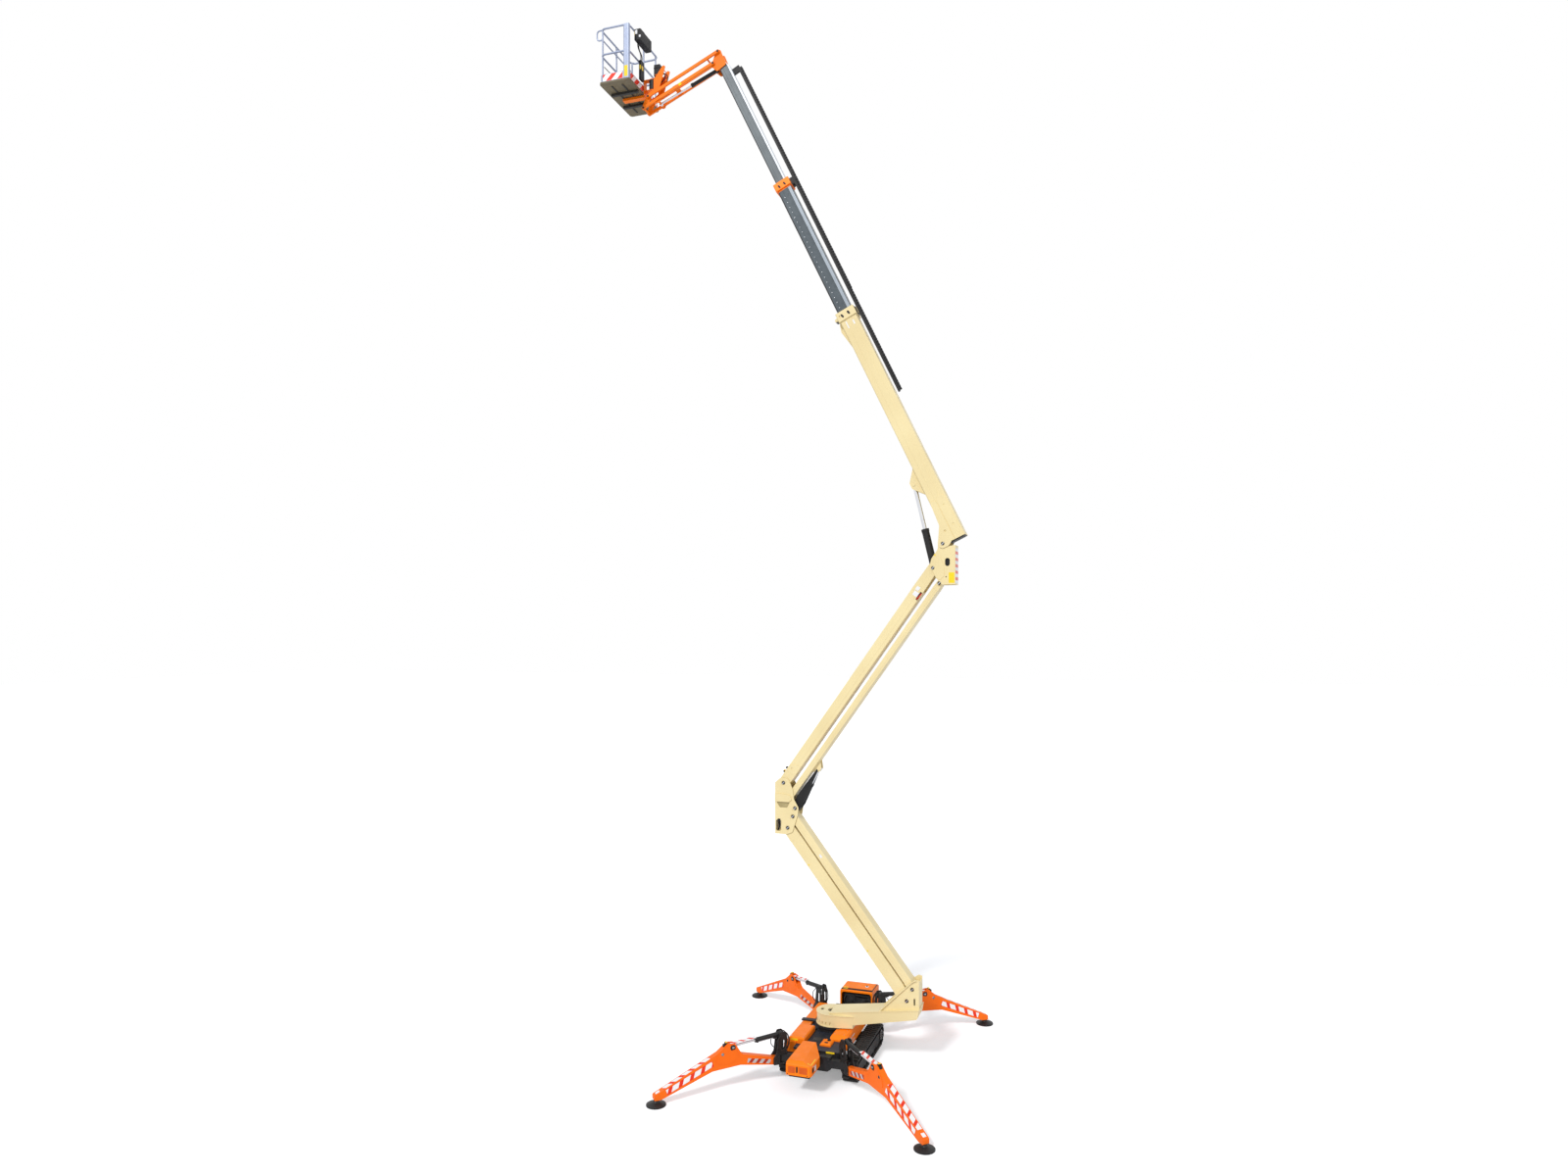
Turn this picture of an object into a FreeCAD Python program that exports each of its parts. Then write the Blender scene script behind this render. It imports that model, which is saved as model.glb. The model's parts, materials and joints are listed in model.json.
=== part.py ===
import FreeCAD, Part
import math
import os

# Tracked articulated and telescopic boom lift on four outriggers, shown set up with its booms raised.
# Lengths are millimetres. The pieces are drawn about the slew axis, with the boom plane as XZ,
# the chassis along Y and the ground at Z = 0, and are moved by SLEW_X and SLEW_Y when they are written.

Vector = FreeCAD.Vector

# Place of the slew axis in the part's frame
SLEW_X = 1056.0
SLEW_Y = 72.0

# Clearances
RUNNING = 0.1          # radial play of a pin in its bore
SLIDING = 0.5          # play of a wear pad on its tube
SEAT = 0.3             # play under a piece that turns or rests on another body

# Tracks
TRACK_INNER_X = 475.0
TRACK_WIDTH = 270.0
TRACK_HEIGHT = 420.0
TRACK_ROWS = 2         # rows of lugs across the belt, staggered
IDLER_Y = -840.0
SPROCKET_Y = 940.0
BELT = 32.0
LUG_HEIGHT = 24.0
LUG_PITCH = 92.0
LUG_SHARE = 0.45       # part of the pitch that a lug takes at its tip
TRACK_FRAME_WALL = 14.0
TRACK_FRAME_INSET = 22.0
HUB_RADIUS = 104.0
HUB_STAND = 14.0

# Chassis
SPINE_HALF_WIDTH = 330.0
SPINE_FRONT_Y = -1290.0
SPINE_REAR_Y = 1960.0
SPINE_BOTTOM = 300.0
DECK_BOTTOM = 560.0
DECK_TOP = 600.0
DECK_HALF_WIDTH = 430.0
DECK_FRONT_Y = -1130.0
DECK_REAR_Y = 1180.0
SLEW_RING_RADIUS = 330.0
SLEW_RING_HEIGHT = 40.0
TURRET_BOTTOM = 720.0

# Hoods and covers over the chassis
TONGUE_TOP = 440.0
HOOD_FRONT_Y = -1950.0
HOOD_REAR_Y = -1010.0
HOOD_LEFT_X = -300.0
HOOD_RIGHT_X = 168.0
HOOD_TOP = 700.0
HOOD_FACET_X = -30.0   # where the flat top ends and the wide bevel begins
HOOD_FACET_LOW = 600.0
GRILLE_DEPTH = 10.0
SKIRT_OUTER_X = 660.0
SKIRT_BOTTOM = 455.0
SKIRT_TOP = 640.0
SKIRT_REAR_Y = 1120.0
LID_TOP = 715.0
LID_BEVEL = 24.0
COVER_OUTER_X = 475.0
COVER_TOP = 700.0
COVER_BEVEL = 34.0
REAR_HOOD_FRONT_Y = 1400.0
REAR_HOOD_LEFT_X = -250.0
REAR_HOOD_RIGHT_X = 440.0
REAR_HOOD_TOP = 905.0
REAR_HOOD_CORNER = 85.0
REAR_HOOD_WALL = 12.0
REAR_HOOD_RIM = 30.0   # width of the thick rim round the opening
REAR_SILL = 510.0

# Outriggers: leg outlines are in their own plane, R outwards from the swivel pin, Z up
SWIVEL_X = 600.0
SWIVEL_FRONT_Y = -1250.0
SWIVEL_REAR_Y = 1300.0
FRONT_LEG_ANGLE = 43.0
REAR_LEG_ANGLE = 37.0
SWIVEL_PIN_RADIUS = 35.0
EYE_BOTTOM = 380.0
EYE_TOP = 520.0
LEG_HALF_WIDTH = 60.0
BRACKET_PLATE = 18.0
BRACKET_GAP = 6.0
LEG_PIN = (150.0, 420.0)
LEG_CYLINDER_PIN = (40.0, 885.0)
LEG_ELBOW_PIN = (1010.0, 800.0)
LEG_BARREL_RADIUS = 40.0
LEG_BARREL_LENGTH = 520.0
LEG_ROD_RADIUS = 20.0
LEG_SLOT_HALF_WIDTH = 50.0
LEG_EYE_HALF_WIDTH = 32.0
FOOT_REACH = 2430.0
FOOT_RADIUS = 175.0
FOOT_TOP = 100.0
LEG_HOLE = (1205.0, 705.0)
LEG_HOLE_RADIUS = 27.0
LEG_DOUBLER = 6.0

# Turret
DRUM_RADIUS = 310.0
DRUM_TOP = 950.0
DRUM_RIM = 10.0        # how far the drum's foot and its top plate stand out
DRUM_SLOTS = 7
ARM_HALF_WIDTH = 235.0
ARM_END_X = 1740.0
ARM_SLOPE = 0.142      # rise of the arm's top along X
ARM_TOP_AT_AXIS = 973.0
ARM_BOTTOM_AT_AXIS = 690.0
ARM_BOTTOM_SLOPE = 0.204
ARM_TOP_PLATE = 14.0
GUSSET_FLANGE = 34.0

# Boom plates and beams: half widths along Y
BEAM_HALF_WIDTH = 140.0
PLATE_GAP = 6.0
PLATE = 16.0
PIN_RADIUS = 30.0
BOOM_WALL = 8.0
CREASE = 3.0           # how far the upper and lower thirds of a boom's sides are pressed in
PIN_HEAD = 8.0         # how far a pin stands out of its plate
POCKET = 5.0           # depth of the teardrop recess round a pin
POCKET_RADIUS = 44.0

# Lower parallelogram
LOWER_PIN = (1494.0, 1344.0)
LOWER_LENGTH = 3916.0
LOWER_ANGLE = 127.2
LOWER_TIE_OFFSET = (105.0, 228.0)
LOWER_BEAM_DEPTH = 240.0
LOWER_TIE_DEPTH = 150.0

# Upper parallelogram
KNUCKLE_RISE = (-88.0, 878.0)      # from the lower beam's pin to the upper beam's pin
UPPER_LENGTH = 5096.0
UPPER_ANGLE = 54.6
UPPER_TIE_OFFSET = (118.0, -288.0)
UPPER_BEAM_DEPTH = 220.0
UPPER_TIE_DEPTH = 120.0
FORK_LENGTH = 480.0
FORK_HALF_GAP = 95.0
RISER_CYLINDER_PIN = (150.0, 391.0)  # from the lower beam's pin on the knuckle
RISER_ROD_PIN = (800.0, -135.0)      # along and across the upper tie
RISER_BARREL_RADIUS = 65.0
RISER_BARREL_LENGTH = 560.0
RISER_ROD_RADIUS = 35.0
RISER_GUARD_INNER = 84.0
RISER_GUARD = 6.0
KNUCKLE_BAND = 20.0

# Main boom, drawn along its own axis from its pivot
MAIN_PIVOT_OFFSET = (189.0, 450.0)   # from the upper beam's head pin
MAIN_ANGLE = 116.0
MAIN_AXIS_OFFSET = -277.0
MAIN_START = -29.0
MAIN_END = 4921.0
MAIN_DEPTH = 340.0
MAIN_HALF_WIDTH = 168.0
LIFT_ROD_PIN = (1267.0, 14.0)
LIFT_BARREL_RADIUS = 70.0
LIFT_BARREL_LENGTH = 765.0
LIFT_ROD_RADIUS = 40.0
COLLAR_LENGTH = 180.0
COLLAR_STAND = 23.0                  # how far a collar stands out of its tube
EXTENSION_1_END = 7888.0
EXTENSION_1_START = 3900.0
EXTENSION_1_DEPTH = 285.0
EXTENSION_1_HALF_WIDTH = 138.0
EXTENSION_2_END = 10653.0
EXTENSION_2_START = 6990.0
EXTENSION_2_DEPTH = 210.0
EXTENSION_2_HALF_WIDTH = 98.0
LEVEL_PIN_ALONG = 10853.0
RAIL_WIDTH = 50.0
RAIL_DEPTH = 40.0
RAIL_STAND = 30.0                    # gap between the main collar and the carrier rails
CHEEK = 16.0
CHEEK_LOW = -232.0                   # across: where the pivot cheeks end and the doublers begin
CHEEK_END = 790.0
DOUBLER = 6.0
ROLLER_RADIUS_ON_COLLAR = 30.0
RAIL_1_START = 3000.0
RAIL_2_START = 5300.0

# Jib
JIB_ANGLE = 202.6
JIB_LENGTH = 1674.0
JIB_TIE_OFFSET = (-105.0, -220.0)    # from the upper pin to the lower pin
JIB_PIN_OFFSET = (-36.0, 136.0)      # from the levelling pin to the upper pin
JIB_CYLINDER_OFFSET = (-110.0, -165.0)  # from the levelling pin to the cylinder's base pin
JIB_ROD_PIN = (1330.0, 42.0)         # along and across the lower bars
JIB_CROSS_PLATE = (850.0, 950.0)
JIB_EYE_HALF_WIDTH = 30.0
JIB_BAR_DEPTH = 56.0
JIB_BAR_WIDTH = 36.0
JIB_PLATE_HALF_GAP = 106.0
JIB_PLATE = 12.0
JIB_BARREL_RADIUS = 36.0
JIB_BARREL_LENGTH = 600.0
JIB_ROD_RADIUS = 20.0

# Basket
ROTATOR_OFFSET = (40.0, 187.0)       # from the link's upper pin to the foot of the rotator's axis
ROTATOR_RADIUS = 78.0
ROTATOR_HEIGHT = 195.0
BASKET_STAND_OFF = 190.0             # from the rotator's axis to the basket's near side
BASKET_WIDTH = 680.0
BASKET_HALF_LENGTH = 700.0
FLOOR_THICKNESS = 40.0
FLOOR_DROP = 40.0                    # the floor's top below the rotator's foot
UNDER_BARS = (220.0, 460.0)          # from the basket's far side
MEMBER_Y = 260.0
RAIL_HEIGHT = 1100.0
MID_RAIL_HEIGHT = 560.0
SIDE_RAIL_DROP = 170.0
RAIL_TUBE_RADIUS = 19.0
RAIL_INSET = 25.0
RAIL_CORNER = 110.0
CORNER_POST = (130.0, 74.0)          # width and depth of the wide post at the near front corner
CORNER_POST_EDGE = 26.0
CORNER_POST_INSET = 6.0
LOOP_STAND = 72.0                    # how far the hand loop stands out of the far side
LOOP_HEIGHT = 200.0

nodes = {}


def box(x0, x1, y0, y1, z0, z1):
    """Block between two corners."""
    return Part.makeBox(x1 - x0, y1 - y0, z1 - z0, Vector(x0, y0, z0))


def rod(start, end, radius):
    """Round bar between two points."""
    a = Vector(*start)
    b = Vector(*end)
    return Part.makeCylinder(radius, (b - a).Length, a, b - a)


def cross_pin(x, z, radius, y0, y1):
    """Round bar along Y."""
    return rod((x, y0, z), (x, y1, z), radius)


def open_pivot(x, z, radius, inner, outer):
    """Two stubs of a pin along Y, one on each side of a rod's eye that may drift."""
    return both_sides(cross_pin(x, z, radius, inner, outer))


def pin_pocket(x, z, angle, outer):
    """Teardrop cutter for both outer faces round a pin, its point at an angle, leaving the pin's head whole."""
    turn = math.radians(angle)
    tip = POCKET_RADIUS * 1.9
    lean = math.acos(POCKET_RADIUS / tip)
    points = [(x + tip * math.cos(turn), z + tip * math.sin(turn)),
              (x + POCKET_RADIUS * math.cos(turn + lean), z + POCKET_RADIUS * math.sin(turn + lean)),
              (x + POCKET_RADIUS * math.cos(turn - lean), z + POCKET_RADIUS * math.sin(turn - lean))]
    drop = side_plate(points, outer - POCKET, outer + 1.0)
    drop = drop.fuse(cross_pin(x, z, POCKET_RADIUS, outer - POCKET, outer + 1.0))
    drop = drop.cut(cross_pin(x, z, PIN_RADIUS, outer - POCKET - 1.0, outer + 2.0))
    return both_sides(drop)


def outline_face(points, to_space):
    """Flat face inside a closed outline. A point is (a, b) or (a, b, corner radius)."""
    count = len(points)
    corners = []
    for i, point in enumerate(points):
        before = points[i - 1]
        after = points[(i + 1) % count]
        corner = Vector(point[0], point[1], 0)
        if len(point) == 2:
            corners.append((corner, None, corner))
            continue
        back = (Vector(before[0], before[1], 0) - corner).normalize()
        ahead = (Vector(after[0], after[1], 0) - corner).normalize()
        half = 0.5 * math.acos(max(-1.0, min(1.0, back.dot(ahead))))
        run = point[2] / math.tan(half)
        middle = (back + ahead).normalize()
        centre = corner + middle * (point[2] / math.sin(half))
        corners.append((corner + back * run, centre - middle * point[2], corner + ahead * run))
    edges = []
    for i, (first, bend, last) in enumerate(corners):
        following = corners[(i + 1) % count][0]
        if bend is not None:
            edges.append(Part.Arc(to_space(first), to_space(bend), to_space(last)).toShape())
        if (following - last).Length > 1e-6:
            edges.append(Part.LineSegment(to_space(last), to_space(following)).toShape())
    return Part.Face(Part.Wire(edges))


def side_plate(points, y0, y1):
    """Plate with an outline in XZ, from y0 to y1."""
    face = outline_face(points, lambda p: Vector(p.x, y0, p.y))
    return face.extrude(Vector(0, y1 - y0, 0))


def flat_plate(points, z0, z1):
    """Plate with an outline in XY, from z0 to z1."""
    face = outline_face(points, lambda p: Vector(p.x, p.y, z0))
    return face.extrude(Vector(0, 0, z1 - z0))


def cross_section(points, x0, x1):
    """Solid with an outline in YZ, from x0 to x1."""
    face = outline_face(points, lambda p: Vector(x0, p.x, p.y))
    return face.extrude(Vector(x1 - x0, 0, 0))


def both_sides(shape):
    """The shape and its mirror image across the boom plane."""
    return [shape, shape.mirror(Vector(0, 0, 0), Vector(0, 1, 0))]


def fuse(shapes):
    """One solid from touching shapes."""
    first = shapes[0]
    return first.multiFuse(shapes[1:]).removeSplitter() if len(shapes) > 1 else first


def rounded_block(half_width, low, high, radius):
    """Corner points of a rounded rectangle in YZ."""
    return [(-half_width, low, radius), (half_width, low, radius),
            (half_width, high, radius), (-half_width, high, radius)]


def tube(x0, x1, half_width, low, high, wall, radius):
    """Folded box tube along X: rounded corners, and a crease along each side above and below its middle band."""
    pressed = half_width - CREASE
    third = (high - low) / 3
    section = [(-pressed, low, radius), (pressed, low, radius), (pressed, low + third), (half_width, low + third + CREASE),
               (half_width, high - third - CREASE), (pressed, high - third), (pressed, high, radius),
               (-pressed, high, radius), (-pressed, high - third), (-half_width, high - third - CREASE),
               (-half_width, low + third + CREASE), (-pressed, low + third)]
    outer = cross_section(section, x0, x1)
    inner = cross_section(rounded_block(half_width - wall, low + wall, high - wall, radius - wall * 0.6),
                          x0 - 1.0, x1 + 1.0)
    return outer.cut(inner)


def sleeve(x0, x1, half_width, low, high, stand, radius, play):
    """Band round a rectangular tube, with play all round it."""
    outer = cross_section(rounded_block(half_width + stand, low - stand, high + stand, radius), x0, x1)
    inner = cross_section(rounded_block(half_width + play, low - play, high + play, radius), x0 - 1.0, x1 + 1.0)
    return outer.cut(inner)


def in_boom_plane(shape, angle, pin):
    """Turns a piece drawn along X to its angle and puts its origin on its pin."""
    turned = shape.copy()
    turned.rotate(Vector(0, 0, 0), Vector(0, -1, 0), angle)
    turned.translate(Vector(pin[0], 0, pin[1]))
    return turned


def point_at(pin, angle, along, across=0.0):
    """Place in the boom plane of a point given along and across a piece."""
    turn = math.radians(angle)
    return (pin[0] + along * math.cos(turn) - across * math.sin(turn),
            pin[1] + along * math.sin(turn) + across * math.cos(turn))


def bearing(start, end):
    """Direction in the boom plane from one point to another, in degrees, and their distance."""
    return (math.degrees(math.atan2(end[1] - start[1], end[0] - start[0])),
            math.hypot(end[0] - start[0], end[1] - start[1]))


def shifted(point, offset):
    return (point[0] + offset[0], point[1] + offset[1])


# Pins of the linkage, worked out from the lengths and angles above
LOWER_TIE_PIN = shifted(LOWER_PIN, LOWER_TIE_OFFSET)
KNUCKLE_LOW_PIN = point_at(LOWER_PIN, LOWER_ANGLE, LOWER_LENGTH)
KNUCKLE_LOW_TIE_PIN = shifted(KNUCKLE_LOW_PIN, LOWER_TIE_OFFSET)
KNUCKLE_HIGH_PIN = shifted(KNUCKLE_LOW_PIN, KNUCKLE_RISE)
KNUCKLE_HIGH_TIE_PIN = shifted(KNUCKLE_HIGH_PIN, UPPER_TIE_OFFSET)
RISER_BASE = shifted(KNUCKLE_LOW_PIN, RISER_CYLINDER_PIN)
RISER_EYE = point_at(KNUCKLE_HIGH_TIE_PIN, UPPER_ANGLE, *RISER_ROD_PIN)
HEAD_PIN = point_at(KNUCKLE_HIGH_PIN, UPPER_ANGLE, UPPER_LENGTH)
HEAD_TIE_PIN = shifted(HEAD_PIN, UPPER_TIE_OFFSET)
MAIN_PIVOT = shifted(HEAD_PIN, MAIN_PIVOT_OFFSET)
LIFT_EYE = point_at(MAIN_PIVOT, MAIN_ANGLE, *LIFT_ROD_PIN)
LEVEL_PIN = point_at(MAIN_PIVOT, MAIN_ANGLE, LEVEL_PIN_ALONG, MAIN_AXIS_OFFSET)
JIB_HIGH_PIN = shifted(LEVEL_PIN, JIB_PIN_OFFSET)
JIB_LOW_PIN = shifted(JIB_HIGH_PIN, JIB_TIE_OFFSET)
JIB_CYLINDER_BASE = shifted(LEVEL_PIN, JIB_CYLINDER_OFFSET)
JIB_EYE = point_at(JIB_LOW_PIN, JIB_ANGLE, *JIB_ROD_PIN)
LINK_HIGH_PIN = point_at(JIB_HIGH_PIN, JIB_ANGLE, JIB_LENGTH)
LINK_LOW_PIN = shifted(LINK_HIGH_PIN, JIB_TIE_OFFSET)
ROTATOR_X = LINK_HIGH_PIN[0] + ROTATOR_OFFSET[0]
ROTATOR_BOTTOM = LINK_HIGH_PIN[1] + ROTATOR_OFFSET[1]
ROTATOR_TOP = ROTATOR_BOTTOM + ROTATOR_HEIGHT
BASKET_RIGHT_X = ROTATOR_X - BASKET_STAND_OFF
BASKET_LEFT_X = BASKET_RIGHT_X - BASKET_WIDTH
FLOOR_TOP = ROTATOR_BOTTOM - FLOOR_DROP
FLOOR_BOTTOM = FLOOR_TOP - FLOOR_THICKNESS
PLATE_INNER = BEAM_HALF_WIDTH + PLATE_GAP
PLATE_OUTER = PLATE_INNER + PLATE


# Tracks

def stadium(offset):
    """Outline in YZ round both wheels, with round ends."""
    low = TRACK_HEIGHT / 2 - offset
    high = TRACK_HEIGHT / 2 + offset
    a = Vector(0, IDLER_Y, high)
    b = Vector(0, SPROCKET_Y, high)
    c = Vector(0, SPROCKET_Y + offset, TRACK_HEIGHT / 2)
    d = Vector(0, SPROCKET_Y, low)
    e = Vector(0, IDLER_Y, low)
    f = Vector(0, IDLER_Y - offset, TRACK_HEIGHT / 2)
    edges = [Part.LineSegment(a, b).toShape(), Part.Arc(b, c, d).toShape(),
             Part.LineSegment(d, e).toShape(), Part.Arc(e, f, a).toShape()]
    return Part.Face(Part.Wire(edges))


def track_point(distance, radius):
    """Point at a distance along the belt's middle line and a radius out from the wheels' line."""
    straight = SPROCKET_Y - IDLER_Y
    bend = math.pi * BELT_MIDDLE
    middle_z = TRACK_HEIGHT / 2
    distance = distance % (2 * straight + 2 * bend)
    if distance < straight:
        return Vector(0, IDLER_Y + distance, middle_z + radius)
    distance -= straight
    if distance < bend:
        turn = distance / BELT_MIDDLE
        return Vector(0, SPROCKET_Y + radius * math.sin(turn), middle_z + radius * math.cos(turn))
    distance -= bend
    if distance < straight:
        return Vector(0, SPROCKET_Y - distance, middle_z - radius)
    turn = (distance - straight) / BELT_MIDDLE
    return Vector(0, IDLER_Y - radius * math.sin(turn), middle_z - radius * math.cos(turn))


BELT_OUTER = TRACK_HEIGHT / 2 - LUG_HEIGHT
BELT_MIDDLE = BELT_OUTER - BELT / 2
BELT_INNER = BELT_OUTER - BELT


def track_row(inner_x, width, phase):
    """One loop of belt with lugs across it, as wide as a row of lugs."""
    length = 2 * (SPROCKET_Y - IDLER_Y) + 2 * math.pi * BELT_MIDDLE
    count = round(length / LUG_PITCH)
    pitch = length / count
    points = []
    for i in range(count):
        start = (i + phase) * pitch
        tip = pitch * LUG_SHARE
        flank = (pitch - tip) * 0.12
        for distance, radius in ((start, BELT_OUTER), (start + flank, TRACK_HEIGHT / 2),
                                 (start + flank + tip, TRACK_HEIGHT / 2), (start + 2 * flank + tip, BELT_OUTER)):
            points.append(track_point(distance, radius))
    edges = [Part.LineSegment(points[i - 1], points[i]).toShape() for i in range(len(points))]
    outer = Part.Face(Part.Wire(edges))
    loop = outer.cut(stadium(BELT_INNER))
    loop.translate(Vector(inner_x, 0, 0))
    return loop.extrude(Vector(width, 0, 0))


row_width = TRACK_WIDTH / TRACK_ROWS
track = fuse([track_row(TRACK_INNER_X + i * row_width, row_width, i / TRACK_ROWS) for i in range(TRACK_ROWS)])
nodes["track_right"] = track
nodes["track_left"] = track.mirror(Vector(0, 0, 0), Vector(1, 0, 0))

# Track frames with idler, sprocket and rollers
FRAME_INNER_X = TRACK_INNER_X + TRACK_FRAME_INSET
FRAME_OUTER_X = TRACK_INNER_X + TRACK_WIDTH - TRACK_FRAME_INSET
WHEEL_RADIUS = BELT_INNER - SEAT
ROLLER_RADIUS = 55.0
ROLLER_Z = TRACK_HEIGHT / 2 - BELT_INNER + ROLLER_RADIUS + SEAT
ROLLERS_Y = [-560.0, -260.0, 50.0, 350.0, 650.0]
FRAME_LOW = ROLLER_Z - 10.0
FRAME_HIGH = TRACK_HEIGHT / 2 + 75.0


def track_frame():
    wall = TRACK_FRAME_WALL
    pieces = []
    outline = [(IDLER_Y - 60.0, TRACK_HEIGHT / 2 - 40.0, 30.0), (IDLER_Y + 130.0, FRAME_LOW, 20.0),
               (SPROCKET_Y - 160.0, FRAME_LOW, 20.0), (SPROCKET_Y + 60.0, TRACK_HEIGHT / 2 - 40.0, 30.0),
               (SPROCKET_Y + 60.0, TRACK_HEIGHT / 2 + 40.0, 30.0), (SPROCKET_Y - 160.0, FRAME_HIGH, 20.0),
               (IDLER_Y + 130.0, FRAME_HIGH, 20.0), (IDLER_Y - 60.0, TRACK_HEIGHT / 2 + 40.0, 30.0)]
    for x0 in (FRAME_INNER_X, FRAME_OUTER_X - wall):
        pieces.append(cross_section(outline, x0, x0 + wall))
    pieces.append(box(FRAME_INNER_X, FRAME_OUTER_X, IDLER_Y + 210.0, SPROCKET_Y - 210.0,
                      FRAME_LOW + 60.0, FRAME_HIGH - 20.0))
    for y in (IDLER_Y, SPROCKET_Y):
        pieces.append(rod((FRAME_INNER_X, y, TRACK_HEIGHT / 2), (FRAME_OUTER_X, y, TRACK_HEIGHT / 2), 34.0))
        pieces.append(rod((FRAME_INNER_X + wall + 10.0, y, TRACK_HEIGHT / 2),
                          (FRAME_OUTER_X - wall - 10.0, y, TRACK_HEIGHT / 2), WHEEL_RADIUS))
    # Drive hub over the sprocket, and the round plate over the idler's bearing
    pieces.append(rod((FRAME_OUTER_X - wall, SPROCKET_Y, TRACK_HEIGHT / 2),
                      (FRAME_OUTER_X + HUB_STAND, SPROCKET_Y, TRACK_HEIGHT / 2), HUB_RADIUS))
    pieces.append(rod((FRAME_OUTER_X - wall, IDLER_Y, TRACK_HEIGHT / 2),
                      (FRAME_OUTER_X + HUB_STAND / 2, IDLER_Y, TRACK_HEIGHT / 2), HUB_RADIUS * 0.6))
    for y in ROLLERS_Y:
        pieces.append(rod((FRAME_INNER_X, y, ROLLER_Z), (FRAME_OUTER_X, y, ROLLER_Z), ROLLER_RADIUS))
    return fuse(pieces)


frame_right = track_frame()
nodes["track_frame_right"] = frame_right
nodes["track_frame_left"] = frame_right.mirror(Vector(0, 0, 0), Vector(1, 0, 0))

# Chassis frame: spine, cross beams to the track frames, outrigger eyes, deck and slew ring
spine_outline = [(-SPINE_HALF_WIDTH, SPINE_BOTTOM + 40.0), (-SPINE_HALF_WIDTH + 60.0, SPINE_BOTTOM),
                 (SPINE_HALF_WIDTH - 60.0, SPINE_BOTTOM), (SPINE_HALF_WIDTH, SPINE_BOTTOM + 40.0),
                 (SPINE_HALF_WIDTH, DECK_BOTTOM), (-SPINE_HALF_WIDTH, DECK_BOTTOM)]
spine_face = outline_face(spine_outline, lambda p: Vector(p.x, SPINE_FRONT_Y, p.y))
frame_pieces = [spine_face.extrude(Vector(0, REAR_HOOD_FRONT_Y - SPINE_FRONT_Y, 0)),
                box(REAR_HOOD_LEFT_X, REAR_HOOD_RIGHT_X, REAR_HOOD_FRONT_Y, SPINE_REAR_Y, REAR_SILL - 60.0,
                    REAR_SILL),
                box(-SPINE_HALF_WIDTH, SPINE_HALF_WIDTH, 1200.0, REAR_HOOD_FRONT_Y, REAR_SILL - 90.0, REAR_SILL),
                box(HOOD_LEFT_X + 40.0, HOOD_RIGHT_X - 40.0, HOOD_FRONT_Y + 40.0, SPINE_FRONT_Y, TONGUE_TOP - 40.0,
                    TONGUE_TOP),
                box(-DECK_HALF_WIDTH, DECK_HALF_WIDTH, DECK_FRONT_Y, DECK_REAR_Y, DECK_BOTTOM, DECK_TOP),
                Part.makeCylinder(SLEW_RING_RADIUS - 40.0, TURRET_BOTTOM - SLEW_RING_HEIGHT - DECK_TOP,
                                  Vector(0, 0, DECK_TOP)),
                Part.makeCylinder(SLEW_RING_RADIUS, SLEW_RING_HEIGHT - SEAT,
                                  Vector(0, 0, TURRET_BOTTOM - SLEW_RING_HEIGHT)),
                box(-SKIRT_OUTER_X, 70.0 - SLEW_RING_RADIUS, 60.0, 170.0, SKIRT_TOP, SKIRT_TOP + 25.0)]
for y in (-560.0, 660.0):
    frame_pieces.append(box(-FRAME_INNER_X, FRAME_INNER_X, y - 70.0, y + 70.0, 170.0, 310.0))
for side in (-1.0, 1.0):
    for y in (SWIVEL_FRONT_Y, SWIVEL_REAR_Y):
        x_low = min(side * (SPINE_HALF_WIDTH - 20.0), side * SWIVEL_X)
        x_high = max(side * (SPINE_HALF_WIDTH - 20.0), side * SWIVEL_X)
        arm = box(x_low, x_high, y - 60.0, y + 60.0, EYE_BOTTOM, EYE_TOP)
        eye = Part.makeCylinder(70.0, EYE_TOP - EYE_BOTTOM, Vector(side * SWIVEL_X, y, EYE_BOTTOM))
        frame_pieces += [arm, eye]
chassis = fuse(frame_pieces)
for side in (-1.0, 1.0):
    for y in (SWIVEL_FRONT_Y, SWIVEL_REAR_Y):
        bore = Part.makeCylinder(SWIVEL_PIN_RADIUS + RUNNING, 400.0, Vector(side * SWIVEL_X, y, 300.0))
        chassis = chassis.cut(bore)
nodes["chassis_frame"] = chassis

# Front hood: a moulded cover with a flat top, a wide bevel along its right side, a slanting rear corner,
# leaning front and two grille recesses
hood_side = [(HOOD_FRONT_Y, TONGUE_TOP), (SPINE_FRONT_Y, TONGUE_TOP), (SPINE_FRONT_Y, DECK_BOTTOM),
             (DECK_FRONT_Y, DECK_BOTTOM), (DECK_FRONT_Y, DECK_TOP), (HOOD_REAR_Y, DECK_TOP),
             (HOOD_REAR_Y, HOOD_TOP, 20.0), (HOOD_FRONT_Y + 70.0, HOOD_TOP - 18.0, 60.0),
             (HOOD_FRONT_Y + 10.0, HOOD_TOP - 75.0, 30.0)]
hood = cross_section(hood_side, HOOD_LEFT_X, HOOD_RIGHT_X)
bevel = [(HOOD_FACET_X, HOOD_TOP), (HOOD_RIGHT_X, HOOD_FACET_LOW), (HOOD_RIGHT_X + 1.0, HOOD_TOP + 1.0)]
hood = hood.cut(side_plate(bevel, HOOD_FRONT_Y - 1.0, HOOD_REAR_Y + 1.0))
left_bevel = [(HOOD_LEFT_X - 1.0, HOOD_TOP + 1.0), (HOOD_LEFT_X, HOOD_TOP - 40.0), (HOOD_LEFT_X + 30.0, HOOD_TOP + 1.0)]
hood = hood.cut(side_plate(left_bevel, HOOD_FRONT_Y - 1.0, HOOD_REAR_Y + 1.0))
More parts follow.
